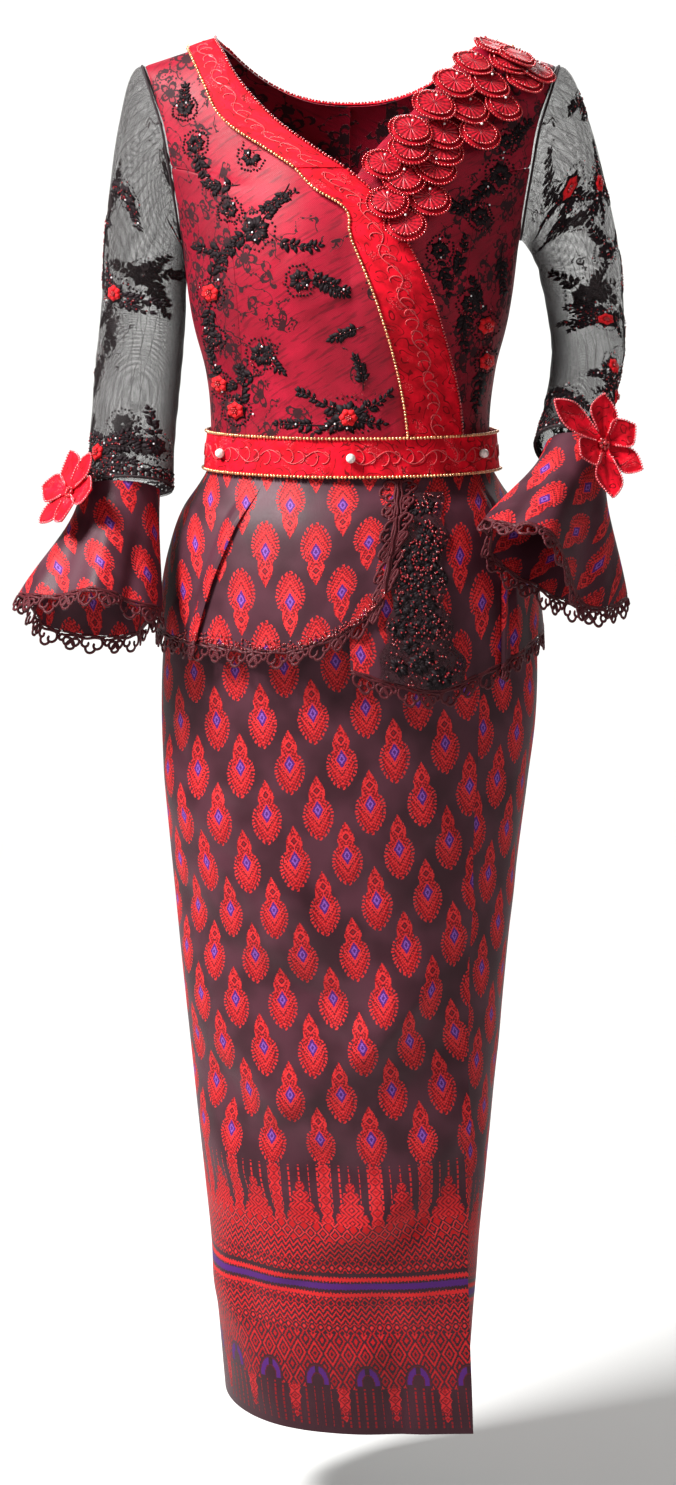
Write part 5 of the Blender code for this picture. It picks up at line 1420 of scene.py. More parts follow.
def skirt():
    """The front, left and back cloths over one set of heights, and the waistband."""
    depths = np.concatenate([np.linspace(SKIRT_TOP + SEAM, 0.1, 16), np.linspace(0.1, SKIRT_HEM, 124)[1:]])
    heights = -depths[:, None]
    quarter, trim = math.pi / 2, SEAM / 2 / 0.15
    edge = np.radians(along(WRAP_EDGE, "angle", heights))
    shares = np.linspace(0, 1, 110)
    angles = (-quarter + trim) * (1 - shares) + edge * shares
    lap = 0.0034 * ease(angles, math.radians(-12), math.radians(14)) * ease(-heights, 0.0, 0.06)
    plain = wrap_front(angles, heights)
    x, z = plain[..., 0], plain[..., 2]
    push = creases(FRONT_FOLDS, x, z) + 0.0006 * ripple(x, z, 0.11, 3)
    push = np.where(push > 0, 1.7, 1.3) * push * ease(angles, -quarter, math.radians(-65))
    push = push * ease(-heights, 0.02, 0.2)
    facing = facing_of(wrap_front, angles, heights, True)
    grid = plain + facing * (lap + push)[..., None]
    steps = np.linalg.norm(np.diff(grid, axis=1), axis=2)
    u = np.concatenate([np.zeros((len(grid), 1)), np.cumsum(steps, axis=1)], axis=1)
    centre = np.array([np.interp(0, angles[i], u[i]) for i in range(len(u))])[:, None]
    u, depth = u - centre, -np.broadcast_to(heights, u.shape)
    climb = 0.127 - 0.137 * ease(depth, 0.25, 0.84)
    uv = np.stack([u - 0.085 * (depth - 0.2) + 0.011, depth + u * climb], -1)
    cloth("skirt_front_cloth", grid, facing, BROCADE, uv, brocade_up, ["skirt_front"])

    surface = partial(ring, SKIRT)
    shares = np.linspace(0, 1, 50)
    angles = np.radians(26) * (1 - shares) + (quarter - trim) * shares + np.zeros((len(heights), 1))
    tuck = 0.006 * ease(angles, 1.35, 0.8) * ease(-heights, 0.0, 0.018)
    facing = facing_of(surface, angles, heights, True)
    push = 0.0008 * ripple(angles * 0.15, heights, 0.09, 8) * ease(-heights, 0.02, 0.2)
    push = push * ease(angles, quarter, 1.4)
    grid = surface(angles, heights) + facing * (push - tuck)[..., None]
    depth = -np.broadcast_to(heights, angles.shape)
    uv = np.stack([angles * 0.15 - 0.04 * depth + 0.006, depth - 0.03 * angles], -1)
    cloth("skirt_left_cloth", grid, facing, BROCADE, uv, brocade_up, ["skirt_left"])

    angles = np.linspace(quarter + trim, 3 * quarter - trim, 96) + np.zeros((len(heights), 1))
    waves = 0.003 * np.sin(angles * 6) * ease(-heights, 0.3, 0.8) * np.clip(np.abs(np.cos(angles)) * 3, 0, 1)
    push = creases(BACK_FOLDS, angles * 0.135, heights) * np.clip(-np.cos(angles) * 3, 0, 1)
    facing = facing_of(surface, angles, heights, True)
    grid = surface(angles, heights) + facing * (waves + push)[..., None]
    uv = np.stack([angles * 0.145, -np.broadcast_to(heights, angles.shape)], -1)
    cloth("skirt_back_cloth", grid, facing, BROCADE, uv, brocade_up, ["skirt_back"])

    angles = np.linspace(0, 2 * math.pi, 144, endpoint=False)
    heights = np.linspace(-SKIRT_TOP, 0.015, 8)[:, None]
    facing = facing_of(torso, angles, heights, True)
    grid = torso(angles, heights) + facing * (-0.004)
    cloth("skirt_waistband_cloth", grid, facing, 0.0015, flat_map(grid, True), band_satin,
          ["skirt_waistband"], closed=True)


def plain_satin(name, colour):
    """Plain dark red satin: fine twill lines and a soft sheen."""
    made, start, feed = finish(name, Sheen_Weight=0.2)
    u, v = cloth_place(start)
    twill = ((u + v) / 0.8).fold() * 2
    cloud = start.place(u, v, 0).noise(0.06, 2.0)
    feed(Base_Color=cloud.mix(colour, [c * 0.7 for c in colour]), Roughness=0.42 + cloud * 0.12,
         Normal=bump(start, twill, 0.0002, 0.5))
    return made


band_satin = plain_satin("plain dark red satin", (0.2, 0.012, 0.022))
skirt()


# The scales on the left shoulder: each a velvet disc under a smaller pleated organza one, both with a rim
# of red beads, sewn on at the top under a pearl. They overlap like a fish's scales, from the shoulder down.
SCALES = table(
    "across height width turn rise", (0.125, 0.3535, 0.036, -14, 0.0), (0.142, 0.35, 0.034, -8, 4.4),
    (0.16, 0.348, 0.034, -4, 0.0), (0.1075, 0.339, 0.036, -16, 0.0), (0.1355, 0.346, 0.035, -8, 0.0),
    (0.148, 0.337, 0.034, -2, 0.0), (0.0905, 0.323, 0.038, -14, 2.6), (0.1191, 0.327, 0.037, -8, 0.0),
    (0.072, 0.305, 0.038, -12, 4.8), (0.1006, 0.305, 0.037, -8, 0.0), (0.128, 0.3095, 0.034, -2, 2.2),
    (0.0515, 0.285, 0.038, -10, 4.4), (0.078, 0.285, 0.038, -6, 0.0), (0.1073, 0.2855, 0.037, -2, 2.2),
    (0.0491, 0.2695, 0.036, -6, 4.6), (0.0774, 0.2715, 0.037, -4, 0.0), (0.029, 0.259, 0.036, -8, 0.0),
    (0.0699, 0.2565, 0.037, 0, 0.0), (0.0441, 0.247, 0.037, -4, 1.0), (0.064, 0.232, 0.038, 2, 0.0),
    (0.03, 0.227, 0.036, 0, 5.2), (0.044, 0.2095, 0.036, 2, 5.0),
)
SCALE_COUNT = len(SCALES["across"])
SCALE_SHAPE = {"length": 0.82, "root": 0.0028, "lift": 0.009, "reach": 0.018}
# The radius that each disc has on its cloth map.
DISC_MAP = 0.018


def scale_place(across, height, width, turn):
    """A scale's sewn point, its ways down, sideways and outwards, and its half width."""
    place = torso(angle_at(across, height), height)
    below = height - SCALE_SHAPE["reach"]
    down = unit(torso(angle_at(across, below), below) - place)
    side = torso(angle_at(across + 0.004, below), below) - torso(angle_at(across - 0.004, below), below)
    side = unit(side - (side @ down) * down)
    facing = np.cross(down, side)
    cos, sin = math.cos(math.radians(turn)), math.sin(math.radians(turn))
    return place, cos * down + sin * side, cos * side - sin * down, facing, width / 2


def disc_shape(rings, segments):
    """Places on a disc: round from its middle, as share of the radius and angle."""
    share = np.concatenate([[0.0], np.repeat(np.linspace(1 / rings, 1, rings), segments)])
    turn = np.concatenate([[0.0], np.tile(np.arange(segments) * 2 * math.pi / segments, rings)])
    faces = [(0, 1 + s, 1 + (s + 1) % segments) for s in range(segments)]
    for k in range(rings - 1):
        a = 1 + k * segments
        for s in range(segments):
            n = (s + 1) % segments
            faces.append((a + s, a + segments + s, a + segments + n, a + n))
    return share, turn, faces


def map_points(made, flat):
    """Gives a piece its cloth map, from one place on the flat cloth for each of its points."""
    layer = made.data.uv_layers.new(name="cloth")
    points = np.zeros(len(made.data.loops), np.int32)
    made.data.loops.foreach_get("vertex_index", points)
    layer.data.foreach_set("uv", flat[points].astype(np.float32).ravel())


def disc_layer(name, looks, size, raise_by, shift, pleats, nodes, thick=0.0006):
    """One layer of all the scales: discs with a thin wall. Returns their rims and middles for the beads."""
    rings, segments = 6, 32
    share, turn, faces = disc_shape(rings, segments)
    count = len(share)
    rim_points, rim_ways, tops = [], [], []
    points, all_faces = [], []
    for i, row in enumerate(zip(*SCALES.values())):
        place, down, side, facing, half = scale_place(*row[:4])
        u, v = share * np.sin(turn), share * np.cos(turn)
        long = half * SCALE_SHAPE["length"]
        hang = (v * size + 1 - shift) / 2
        lift = SCALE_SHAPE["root"] + SCALE_SHAPE["lift"] * np.clip(hang, 0, 1) + row[4] / 1000 + raise_by
        lift = lift + 0.0009 * (1 - share**2) + pleats * share * np.sin(turn * 15 + i) * 0.5
        lift = lift + 0.0007 * np.sin(turn * 3 + i * 1.7) * share**2
        spread = (place + side * (half * size * u)[:, None] + down * (long * (v * size + 1 - shift))[:, None]
                  + facing * lift[:, None])
        points.append(spread)
        points.append(spread - facing * thick)
        base = i * 2 * count
        all_faces += [tuple(base + k for k in face) for face in faces]
        all_faces += [tuple(base + count + k for k in reversed(face)) for face in faces]
        ring0 = 1 + (rings - 1) * segments
        for s in range(segments):
            a, b = base + ring0 + s, base + ring0 + (s + 1) % segments
            all_faces.append((b, a, a + count, b + count))
        rim_points.append(spread[ring0:])
        rim_ways.append(np.broadcast_to(facing, (segments, 3)))
        tops.append(spread[0] - down * long * 0.36 + facing * 0.0022)
    made = mesh_piece(name, np.concatenate(points), all_faces, looks, nodes)
    disc = np.stack([share * np.sin(turn), share * np.cos(turn)], -1) * DISC_MAP
    map_points(made, np.tile(disc, (2 * SCALE_COUNT, 1)))
    return rim_points, rim_ways, np.array(tops)


def organza(name):
    """Fine glossy organza, pressed in pleats that fan from the disc's middle, with painted shade in their
    hollows; it also darkens in rings round the middle.
    """
    made, start, feed = finish(name, Specular_IOR_Level=0.3, Sheen_Weight=0.12, Sheen_Tint=(1, 0.2, 0.2, 1))
    u, v = cloth_place(start)
    turn = start.math("ARCTAN2", u, v)
    pleat = (turn * 15).sine() * 0.5 + 0.5
    reach = (u * u + v * v).power(0.5)
    rows = (reach / 4.2).fold() * 2
    # The pleats' hollows are darkened: painted shade.
    feed(Base_Color=(pleat * 0.6 + rows * 0.4).mix((0.11, 0.001, 0.007), (0.56, 0.005, 0.018)),
         Roughness=0.36 + pleat * 0.12, Normal=bump(start, pleat, 0.0006, 0.8))
    return made


def scales():
    """Both layers of discs, the beads round their rims, and the pearls that they hang from."""
    nodes = [f"scale_{i + 1:02d}" for i in range(SCALE_COUNT)]
    pile = velvet("dark red velvet", (0.24, 0.001, 0.007), (0.46, 0.003, 0.014))
    rims, ways, _ = disc_layer("scale_velvet", pile, 1.0, 0.0, 0.0, 0.0, nodes, 0.001)
    upper, upper_ways, tops = disc_layer("scale_organza", organza("pleated organza"), 0.8, 0.0016, 0.14,
                                         0.0009, [])
    rows = [bead_row(np.concatenate([r, r[:1]]), np.concatenate([w, w[:1]]), 0.0027, 0.0011)
            for r, w in zip(rims + upper, ways + upper_ways)]
    beads("scale_beads", np.concatenate(rows), 0.0012, red_beads, rings=3, segments=5)
    beads("scale_pearls", tops, 0.0011, pearl_look, rings=5, segments=8)


scales()


# The flowers on the cuffs: each has six pointed petals of stuffed red velvet with a rim of small pearls,
# a cluster of beads at its middle, and a thread stem that sews it to the cuff.
# A petal's widest half, how far it curls up, and how thickly it is stuffed.
PETAL_HALF, PETAL_LIFT, PETAL_THICK = 0.0128, 0.006, 0.0019
RIGHT_PETALS = table(
    "turn length", (-15, 0.042), (45, 0.041), (100, 0.046), (160, 0.037), (222, 0.038), (285, 0.04),
)
LEFT_PETALS = table(
    "turn length", (-20, 0.046), (34, 0.037), (98, 0.04), (158, 0.053), (216, 0.034), (277, 0.06),
)
PETAL_SHAPE = table(
    "share wide lift", (0.1, 0.25, 0.3), (0.3, 0.62, 0.48), (0.5, 0.98, 0.7), (0.68, 1.02, 0.88),
    (0.84, 0.66, 1.1), (0.94, 0.3, 1.28), (1.0, 0.03, 1.4),
)


def velvet_flower(side, seat, turned, petals):
    """One flower: petals as closed leaf shapes whose edges curl up, on rays round the middle."""
    grid, facing, ahead, out, forward = cuff_forms[side]
    row, column, clear = seat
    sewn, surface = on_grid(grid, facing, np.array([row]), np.array([column]), 0.0, True)
    sewn, surface = sewn[0], surface[0]
    centre = sewn + surface * clear
    facing = unit(np.array(turned) @ np.array([out, forward, ahead]))
    upward = unit(-ahead - (-ahead @ facing) * facing)
    across = np.cross(upward, facing)
    shares, leans = np.linspace(0.08, 1.0, 22), np.linspace(-1, 1, 13)
    points, rims, faces = [], [], []
    rows, columns = len(shares), len(leans)
    for i, (degrees, length) in enumerate(zip(*petals.values())):
        turn = math.radians(degrees)
        ray = math.cos(turn) * upward + math.sin(turn) * across
        beside = math.cos(turn) * across - math.sin(turn) * upward
        wide = PETAL_HALF * along(PETAL_SHAPE, "wide", shares)[:, None] * leans
        curled = 0.4 * leans**2 * (1.2 - shares[:, None])
        lift = PETAL_LIFT * (along(PETAL_SHAPE, "lift", shares)[:, None] + curled)
        lift = lift + 0.0012 * (i % 2) + 0.0005 * np.sin(shares[:, None] * 9 + leans * 2 + i)
        middle = 0.0012 * np.exp(-(leans / 0.12) ** 2) * np.sin(math.pi * shares[:, None])
        top = (centre + ray * (length * shares)[:, None, None] + beside * wide[..., None]
               + facing * (lift - middle)[..., None])
        fill = np.sin(math.pi * np.clip(shares, 0.05, 0.97))[:, None]
        stuffed = PETAL_THICK * np.sqrt(np.clip(1 - leans**2, 0.02, 1)) * fill
        base = len(points) * rows * columns
        points.append(top + facing * (stuffed * 0.4)[..., None])
        points.append(top - facing * (stuffed * 0.6 + 0.0003)[..., None])
        for r in range(rows - 1):
            for c in range(columns - 1):
                a = base + r * columns + c
                faces.append((a, a + columns, a + columns + 1, a + 1))
                b = a + rows * columns
                faces.append((b, b + 1, b + columns + 1, b + columns))
        edge = [(r, 0) for r in range(rows)] + [(rows - 1, c) for c in range(1, columns)]
        edge += [(r, columns - 1) for r in range(rows - 2, -1, -1)]
        edge += [(0, c) for c in range(columns - 2, 0, -1)]
        for (r0, c0), (r1, c1) in zip(edge, edge[1:] + edge[:1]):
            a, b = base + r0 * columns + c0, base + r1 * columns + c1
            faces.append((b, a, a + rows * columns, b + rows * columns))
        rims.append(np.concatenate([top[3:, 0], top[-2:2:-1, -1]]))
    points = np.concatenate(points).reshape(-1, 3)
    made = mesh_piece(f"cuff_flower_{side}_petals", points, faces, red_velvet,
                      [f"cuff_flower_{side}"])
    flat = np.stack([(points - centre) @ across, (points - centre) @ upward], -1)
    map_points(made, flat)
    pearls = [bead_row(rim, np.broadcast_to(facing, rim.shape), 0.0025, 0.0009) for rim in rims]
    beads(f"cuff_flower_{side}_rims", np.concatenate(pearls), 0.001, rim_beads)
    ways = np.arange(7) * 2 * math.pi / 7
    ring0 = centre + (np.cos(ways)[:, None] * upward + np.sin(ways)[:, None] * across) * 0.0042
    knot = np.concatenate([ring0 + facing * 0.0042, [centre + facing * 0.0062]])
    beads(f"cuff_flower_{side}_middle", knot, 0.0021, red_beads, rings=6, segments=8)
    steps = np.linspace(0, 1, 6)[:, None]
    stem = (sewn + surface * 0.0002) * (1 - steps) + (centre + facing * 0.003) * steps
    strokes(f"cuff_flower_{side}_stem", stem[None], np.broadcast_to(across, stem.shape)[None], 0.0036,
            red_velvet_cord, sides=10)


rim_beads = glass("rose beads", (0.8, 0.1, 0.12), 0.12)
red_velvet_cord = cord_look("red stem thread", (0.55, 0.004, 0.01), 0.6)
velvet_flower("right", (4.06, 15, 0.012), (0.75, 0.6, -0.3), RIGHT_PETALS)
velvet_flower("left", (4.06, 30, 0.014), (0.3, 0.9, 0.1), LEFT_PETALS)


# The lace sewn on top of the net: raised black flowers and leafy sprays on the blouse's body and sleeves,
# red rosettes with beaded middles, dark red beads along the leaves, and a few clear sequins.
LEAF = np.array([(0.0, 0.0), (0.18, 0.66), (0.42, 1.0), (0.72, 0.74), (1.0, 0.0), (0.72, -0.74), (0.42, -1.0),
                 (0.18, -0.66)]) * (1, 0.5)
BODY_BLOOMS = table(
    "across height size", (-0.002, 0.035, 15), (-0.1, 0.038, 10), (-0.115, 0.06, 9), (-0.121, 0.14, 10),
    (0.118, 0.112, 10), (0.119, 0.08, 9), (-0.081, 0.194, 13), (-0.104, 0.211, 8), (-0.043, 0.152, 10),
    (-0.085, 0.255, 9), (-0.134, 0.268, 9), (-0.077, 0.088, 11), (0.129, 0.241, 11), (0.135, 0.27, 8),
    (0.076, 0.177, 9), (0.103, 0.131, 9), (-0.119, 0.1, 8), (0.111, 0.205, 9), (-0.143, 0.3, 8),
)
BODY_SPRAYS = table(
    "across height turn long", (-0.002, 0.035, 20, 42), (-0.002, 0.035, 150, 46), (-0.002, 0.035, 205, 40),
    (-0.002, 0.035, 335, 30), (-0.1, 0.035, 60, 40), (-0.115, 0.053, 100, 44), (-0.124, 0.144, 80, 42),
    (-0.12, 0.136, 250, 40), (0.115, 0.112, 100, 40), (0.117, 0.083, 260, 44), (-0.081, 0.194, 60, 46),
    (-0.081, 0.194, 200, 44), (-0.069, 0.191, 320, 44), (-0.043, 0.152, 10, 40), (-0.028, 0.158, 300, 30),
    (0.012, 0.114, 200, 30), (-0.077, 0.104, 280, 36), (-0.077, 0.071, 190, 30), (-0.085, 0.261, 100, 42),
    (-0.134, 0.268, 280, 44), (-0.14, 0.29, 110, 30), (-0.052, 0.232, 250, 30), (-0.105, 0.173, 160, 30),
    (0.129, 0.241, 230, 44), (0.138, 0.26, 80, 34), (0.111, 0.203, 150, 40), (0.07, 0.177, 300, 38),
    (0.103, 0.131, 240, 40), (0.1, 0.07, 200, 32), (-0.022, 0.028, 180, 40), (0.01, 0.058, 80, 30),
    (0.085, 0.148, 60, 40), (-0.095, 0.232, 190, 30), (0.132, 0.181, 260, 40),
)
# The front's first blooms carry rosettes. Picots stand round every bloom, and the lace keeps clear of seams.
ROSETTES, PICOTS, CLEAR = 6, 28, 0.003


def leaf_outlines(places):
    """Leaf outlines in the plane, from rows of across, up, turn in radians, length and width."""
    x, y, turn, long, wide = np.array(places, float).T[:, :, None]
    a, b = LEAF[:, 0] * long, LEAF[:, 1] * wide
    return np.stack([x + a * np.cos(turn) - b * np.sin(turn), y + a * np.sin(turn) + b * np.cos(turn)], -1)


def bloom(x, y, size, petals=7, start=0.0):
    """A lace flower: a ring of long petals with a ring of short ones between them, size in millimetres."""
    rows = []
    for k in range(petals):
        turn = start + k * 2 * math.pi / petals
        for shift, near, long, wide in ((0.0, 0.1, 0.92, 0.62), (0.45, 0.2, 0.66, 0.36)):
            t, r = turn + shift, near * size / 1000
            rows.append((x + r * math.cos(t), y + r * math.sin(t), t, long * size / 1000, wide * size / 1000))
    return rows


def leafy_spray(x, y, turn, long, chance):
    """A curved stem with pairs of leaves that grow smaller, and its tip leaf; long in millimetres."""
    bend = chance.uniform(-0.9, 0.9)
    t = np.linspace(0, 1, 12)
    ways = turn + bend * t
    step = long / 1000 / 11
    path = np.stack([x + np.concatenate([[0], np.cumsum(np.cos(ways[1:]) * step)]),
                     y + np.concatenate([[0], np.cumsum(np.sin(ways[1:]) * step)])], -1)
    rows = [(*path[-1], ways[-1], 0.006, 0.0034)]
    for k in range(3, 12):
        size = 0.01 - 0.00042 * k + chance.uniform(-0.0012, 0.0012)
        for side in (-1, 1):
            if chance.uniform() < 0.85:
                rows.append((*path[k], ways[k] + side * chance.uniform(0.5, 1.2), size, size * 0.52))
    return rows, path


def front_spot(flat):
    """A place on the blouse's front, from across and height, on whichever front lies on top there."""
    across, height = flat[..., 0], flat[..., 1]
    angle = angle_at(across, height)
    lap = front_lap(across) * (across < along(CROSS_EDGE, "across", height))
    return body_at(angle, height, lap), facing_of(torso, angle, height)


def back_spot(flat):
    """A place on the blouse's back, from across and height."""
    angle = math.pi - angle_at(flat[..., 0], flat[..., 1])
    return body_at(angle, flat[..., 1]), facing_of(torso, angle, flat[..., 1])


def inside_armholes(across, height, top):
    """Which places lie inside the armholes and the side seams, above the belt and below a height."""
    edge = np.where(height < ARMPIT, along(BODY, "half_width", height) * 0.985,
                    along(ARMHOLE, "across", height) - CLEAR)
    return (np.abs(across) < edge) & (height > BELT_HALF + CLEAR) & (height < top)


def on_front(flat):
    """Which places lie on the front's net: inside the armholes, and clear of the band, neck and belt."""
    across, height = flat[..., 0], flat[..., 1]
    right = across < along(BAND_EDGE, "across", height) - CLEAR
    left = across > along(CROSS_EDGE, "across", height) + CLEAR
    left = left & (across > along(LEFT_NECK, "across", height) + CLEAR)
    return inside_armholes(across, height, 0.335) & (right | left)


def on_back(flat):
    """Which places lie on the back's net, below its neckline."""
    return inside_armholes(flat[..., 0], flat[..., 1], 0.262)


def appliques(name, outlines, rise, spot, look):
    """Low closed lens shapes that follow a surface, from their outlines in the surface's own measures."""
    many, corners = outlines.shape[:2]
    middle = outlines.mean(axis=1, keepdims=True)
    rim, up = spot(outlines)
    top, way = spot(middle)
    points = np.concatenate([rim + up * 0.0003, top + way * rise, top - way * 0.0002], axis=1)
    faces = []
    for k in range(corners):
        n = (k + 1) % corners
        faces += [(k, n, corners), (n, k, corners + 1)]
    return mesh_piece(name, points.reshape(-1, 3), repeat_shape(points[0], faces, many), look)


def lace_thread(name):
    """Black lace thread: matt, with fine raised stitches."""
    made, start, feed = finish(name, Specular_IOR_Level=0.12)
    spot = start.node("ShaderNodeTexCoord", out=3)
    stitch = spot.noise(900.0, 1.0)
    feed(Base_Color=stitch.mix((0.004, 0.003, 0.004), (0.016, 0.008, 0.01)), Roughness=0.5 + stitch * 0.3,
         Normal=bump(start, stitch, 0.0003, 0.6))
    return made


def felt(name):
    """The rosettes' soft red cloth, a little uneven in tone in small random flecks."""
    made, start, feed = finish(name, Specular_IOR_Level=0.2, Sheen_Weight=0.2, Sheen_Tint=(1, 0.1, 0.1, 1))
    spot = start.node("ShaderNodeTexCoord", out=3)
    tone = spot.noise(240.0, 2.0)
    feed(Base_Color=tone.mix((0.42, 0.002, 0.006), (0.74, 0.006, 0.012)), Roughness=0.6 + tone * 0.2)
    return made


def lace_group(name, blooms, sprays, rosettes, spot, inside, seed):
    """All that is sewn on one surface: blooms with picots round them, sprays, rosettes, beads and sequins."""
    chance = np.random.default_rng(seed)
    leaves, paths, dots, gems = [], [], [], []
    for x, y, size in blooms:
        start = chance.uniform(0, 6)
        leaves += bloom(x, y, size, 7, start)
        for k in range(PICOTS):
            t, r = start + k * 2 * math.pi / PICOTS, size * chance.uniform(1.02, 1.3) / 1000
            dots.append((x + r * math.cos(t), y + r * math.sin(t), t, 0.0024, 0.0022))
        for _ in range(int(size * 1.6)):
            t, r = chance.uniform(0, 6.3), size * chance.uniform(0.3, 1.6) / 1000
            gems.append((x + r * math.cos(t), y + r * math.sin(t)))
    for x, y, degrees, long in sprays:
        more, path = leafy_spray(x, y, math.radians(degrees), long, chance)
        leaves += more
        paths.append(path)
        gems += [tuple(path[k] + chance.normal(0, 0.0015, 2)) for k in range(2, 12, 2)]
    outlines = leaf_outlines(leaves + dots)
    outlines = outlines[inside(outlines).all(axis=1)]
    appliques(f"lace_{name}_leaves", outlines, 0.0009, spot, black_lace)
    paths = np.array(paths)
    paths = paths[inside(paths).all(axis=1)]
    points, up = spot(paths)
    strokes(f"lace_{name}_stems", points + up * 0.0004, up, 0.0005, black_lace)
    gems = np.array(gems)
    gems = gems[inside(gems)]
    points, up = spot(gems)
    sizes = chance.uniform(0.0005, 0.0009, len(gems))
    beads(f"lace_{name}_beads", points + up * 0.0009, sizes, dark_red_beads, rings=3, segments=5)
    clear = gems[::14] + 0.002
    clear = clear[inside(clear)]
    points, up = spot(clear)
    beads(f"lace_{name}_sequins", points + up * 0.0009, 0.001, clear_beads, rings=3)
    if len(rosettes):
        petals, knots = [], []
        for x, y in rosettes:
            start = chance.uniform(0, 6)
            for k in range(6):
                t = start + k * math.pi / 3
                petals.append((x + 0.0012 * math.cos(t), y + 0.0012 * math.sin(t), t, 0.007, 0.0078))
                knots.append((x + 0.002 * math.cos(t + 0.5), y + 0.002 * math.sin(t + 0.5)))
            knots.append((x, y))

        def raised(flat):
            """Places a little above the surface, and the way that it faces there."""
            points, up = spot(flat)
            return points + 0.0012 * up, up

        appliques(f"rosettes_{name}", leaf_outlines(petals), 0.0016, raised, rosette_felt)
        points, up = spot(np.array(knots))
        beads(f"rosettes_{name}_beads", points + up * 0.0034, 0.001, red_beads)


black_lace = lace_thread("black lace thread")
rosette_felt = felt("red rosette cloth")
dark_red_beads = glass("maroon beads", (0.3, 0.006, 0.012), 0.1)
clear_beads = glass("clear sequins", (0.8, 0.76, 0.78), 0.08)
front_blooms = list(zip(*BODY_BLOOMS.values()))
front_rosettes = [row[:2] for row in front_blooms[:ROSETTES]]
lace_group("front", front_blooms, zip(*BODY_SPRAYS.values()), front_rosettes, front_spot, on_front, 3)
back_blooms = [(-x, h, size) for x, h, size in front_blooms[3:]] + [(0.03, 0.07, 12), (-0.04, 0.2, 11)]
back_sprays = [(-x * 0.9, h - 0.012, 180 - turn, long) for x, h, turn, long in zip(*BODY_SPRAYS.values())]
lace_group("back", back_blooms, back_sprays, [], back_spot, on_back, 5)


# A sleeve's radius at the elbow, which turns an angle round it into a way round it in metres.
ELBOW = 0.036


def sleeve_spot(side):
    """Places on a sleeve, from the way round it and the way down it from the shoulder, both in metres.

    The way round starts at the outer side, comes to the front, and is measured at the elbow's size. With them
    come the test for places that are clear of both ends, and the sleeve's length.
    """
    grid, facing = sleeve_forms[side][:2]
    run = lengths(grid[:, 0])

    def spot(flat):
        """The points there, and the way that the sleeve faces."""
        row = np.interp(flat[..., 1], run, np.arange(len(run)))
        column = flat[..., 0] / ELBOW / (2 * math.pi) * grid.shape[1]
        return on_grid(grid, facing, row, column, 0.0, True)

    def inside(flat):
        """Which places are clear of the armhole and of the cuff."""
        return (flat[..., 1] > 0.006) & (flat[..., 1] < run[-1] - 0.0015)

    return spot, inside, run[-1]


# Rosettes on each sleeve, by the turn round it in degrees and the share of the way down; blooms stand round
# them and elsewhere, thick near the cuff.
SLEEVE_ROSETTES = {
    "right": [(80, 0.53), (70, 0.93), (250, 0.5)],
    "left": [(105, 0.2), (60, 0.27), (95, 0.62), (75, 0.76), (52, 0.83), (250, 0.55)],
}
for side, seed in (("right", 11), ("left", 12)):
    chance = np.random.default_rng(seed)
    spot, inside, length = sleeve_spot(side)
    rosettes = [(math.radians(turn) * ELBOW, share * length) for turn, share in SLEEVE_ROSETTES[side]]
    blooms = [(x, y, 12) for x, y in rosettes]
    sprays = [(x, y, turn, 34) for x, y in rosettes for turn in chance.uniform(0, 360, 4)]
    for share in np.concatenate([np.linspace(0.08, 0.9, 11), np.full(5, 0.93)]):
        x = chance.uniform(0, 2 * math.pi) * ELBOW
        y = (share + chance.uniform(-0.03, 0.03)) * length
        blooms.append((x, y, chance.uniform(7, 11)))
        sprays += [(x, y, turn, chance.uniform(24, 38)) for turn in chance.uniform(0, 360, 2)]
    for turn in np.arange(24) * 2 * math.pi / 24:
        blooms.append((turn * ELBOW, length - 0.007, 5.5))
    lace_group(f"sleeve_{side}", blooms, sprays, rosettes, spot, inside, seed + 20)


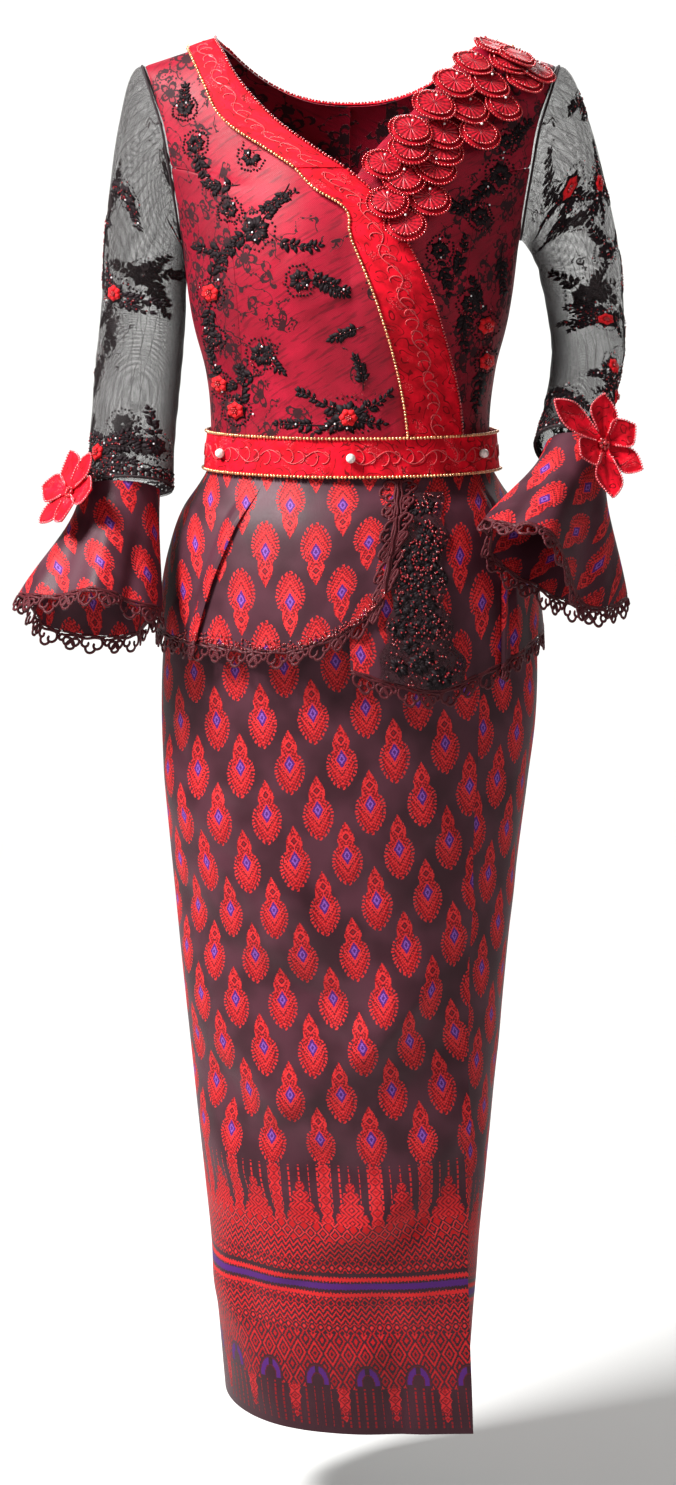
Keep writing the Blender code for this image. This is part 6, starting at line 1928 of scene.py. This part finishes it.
# The beaded lace on the left peplum panel, beside the crossing edge: black net full of black leaves and
# dark red beads, with a waved outline. It is sewn flat along its edges.
def lace_patch():
    """The strip of net, its leaves and beads, and the beads along the right panel's hem."""
    grid, facing = peplum_forms["front_left"][:2]
    steps, columns = 60, 22
    sway = np.linspace(0, 1, steps)
    left = 17 - 9.5 * sway + 0.6 * np.sin(sway * 34)
    right = 30 - 3.5 * np.sin(sway * 3.6) + 3 * ease(sway, 0.6, 1.0) + 1.1 * np.sin(sway * 29 + 1)
    shares = np.linspace(0, 1, columns)
    column = left[:, None] * (1 - shares) + right[:, None] * shares
    row = np.broadcast_to((4 + (len(grid) - 5) * sway)[:, None], column.shape)
    points, up = on_grid(grid, facing, row, column, 0.0018)
    cloth("peplum_lace_net", points, up, 0.0004, flat_map(points), patch_net("beaded black lace"),
          ["peplum_lace"])
    chance = np.random.default_rng(8)
    leaves, gems = [], []
    wide = np.linalg.norm(points[:, -1] - points[:, 0], axis=1)
    run = lengths(points[:, columns // 2])
    for _ in range(30):
        y = 0.006 + (run[-1] - 0.01) * chance.uniform() ** 0.7
        x = chance.uniform(0.006, np.interp(y, run, wide) - 0.006)
        leaves += bloom(x, y, chance.uniform(7, 12), 6, chance.uniform(0, 6))
    for _ in range(400):
        y = chance.uniform(0.001, run[-1] - 0.001)
        gems.append((chance.uniform(0.001, np.interp(y, run, wide) - 0.001), y))

    def spot(flat):
        """Places on the strip, from the way across it and the way down it in metres."""
        r = np.interp(flat[..., 1], run, np.arange(steps))
        c = flat[..., 0] / np.interp(r, np.arange(steps), wide) * (columns - 1)
        return on_grid(points, up, r, c, 0.0)

    appliques("peplum_lace_leaves", leaf_outlines(leaves), 0.001, spot, black_lace)
    place, way = spot(np.array(gems))
    sizes = chance.uniform(0.0007, 0.0012, len(gems))
    beads("peplum_lace_beads", place + way * 0.001, sizes, dark_red_beads, rings=3, segments=5)
    hem, turned, down, shown = peplum_forms["front_right"]
    run, many = lengths(hem[-1][shown]), 420
    at = run[-1] * np.sort(1 - chance.uniform(0, 1, many) ** 1.6 * 0.75)
    back = chance.uniform(-0.002, 0.01, many) * chance.uniform(0.2, 1, many)
    place = read_line(hem[-1][shown], run, at) - unit(read_line(down[shown], run, at)) * back[:, None]
    place = place + unit(read_line(turned[-1][shown], run, at)) * 0.0009
    sizes = chance.uniform(0.0007, 0.0011, many)
    beads("peplum_edge_beads", place, sizes, dark_red_beads, rings=3, segments=5)


def patch_net(name):
    """Black net full of black lace, over a faint dark film that fills its cells."""
    made, start, feed = finish(name, Roughness=0.55, Specular_IOR_Level=0.3)
    u, v = cloth_place(start)
    threads = net_threads(u, v, 1.6, 0.16)
    lace = lace_pattern(start, u * 1.8, v * 1.8, u * 0 + 0.95)
    tone = start.place(u, v, 0).noise(0.4, 2.0)
    feed(Base_Color=tone.mix((0.008, 0.005, 0.006), (0.05, 0.006, 0.012)),
         Alpha=threads.most(lace).most(0.25))
    return made


lace_patch()
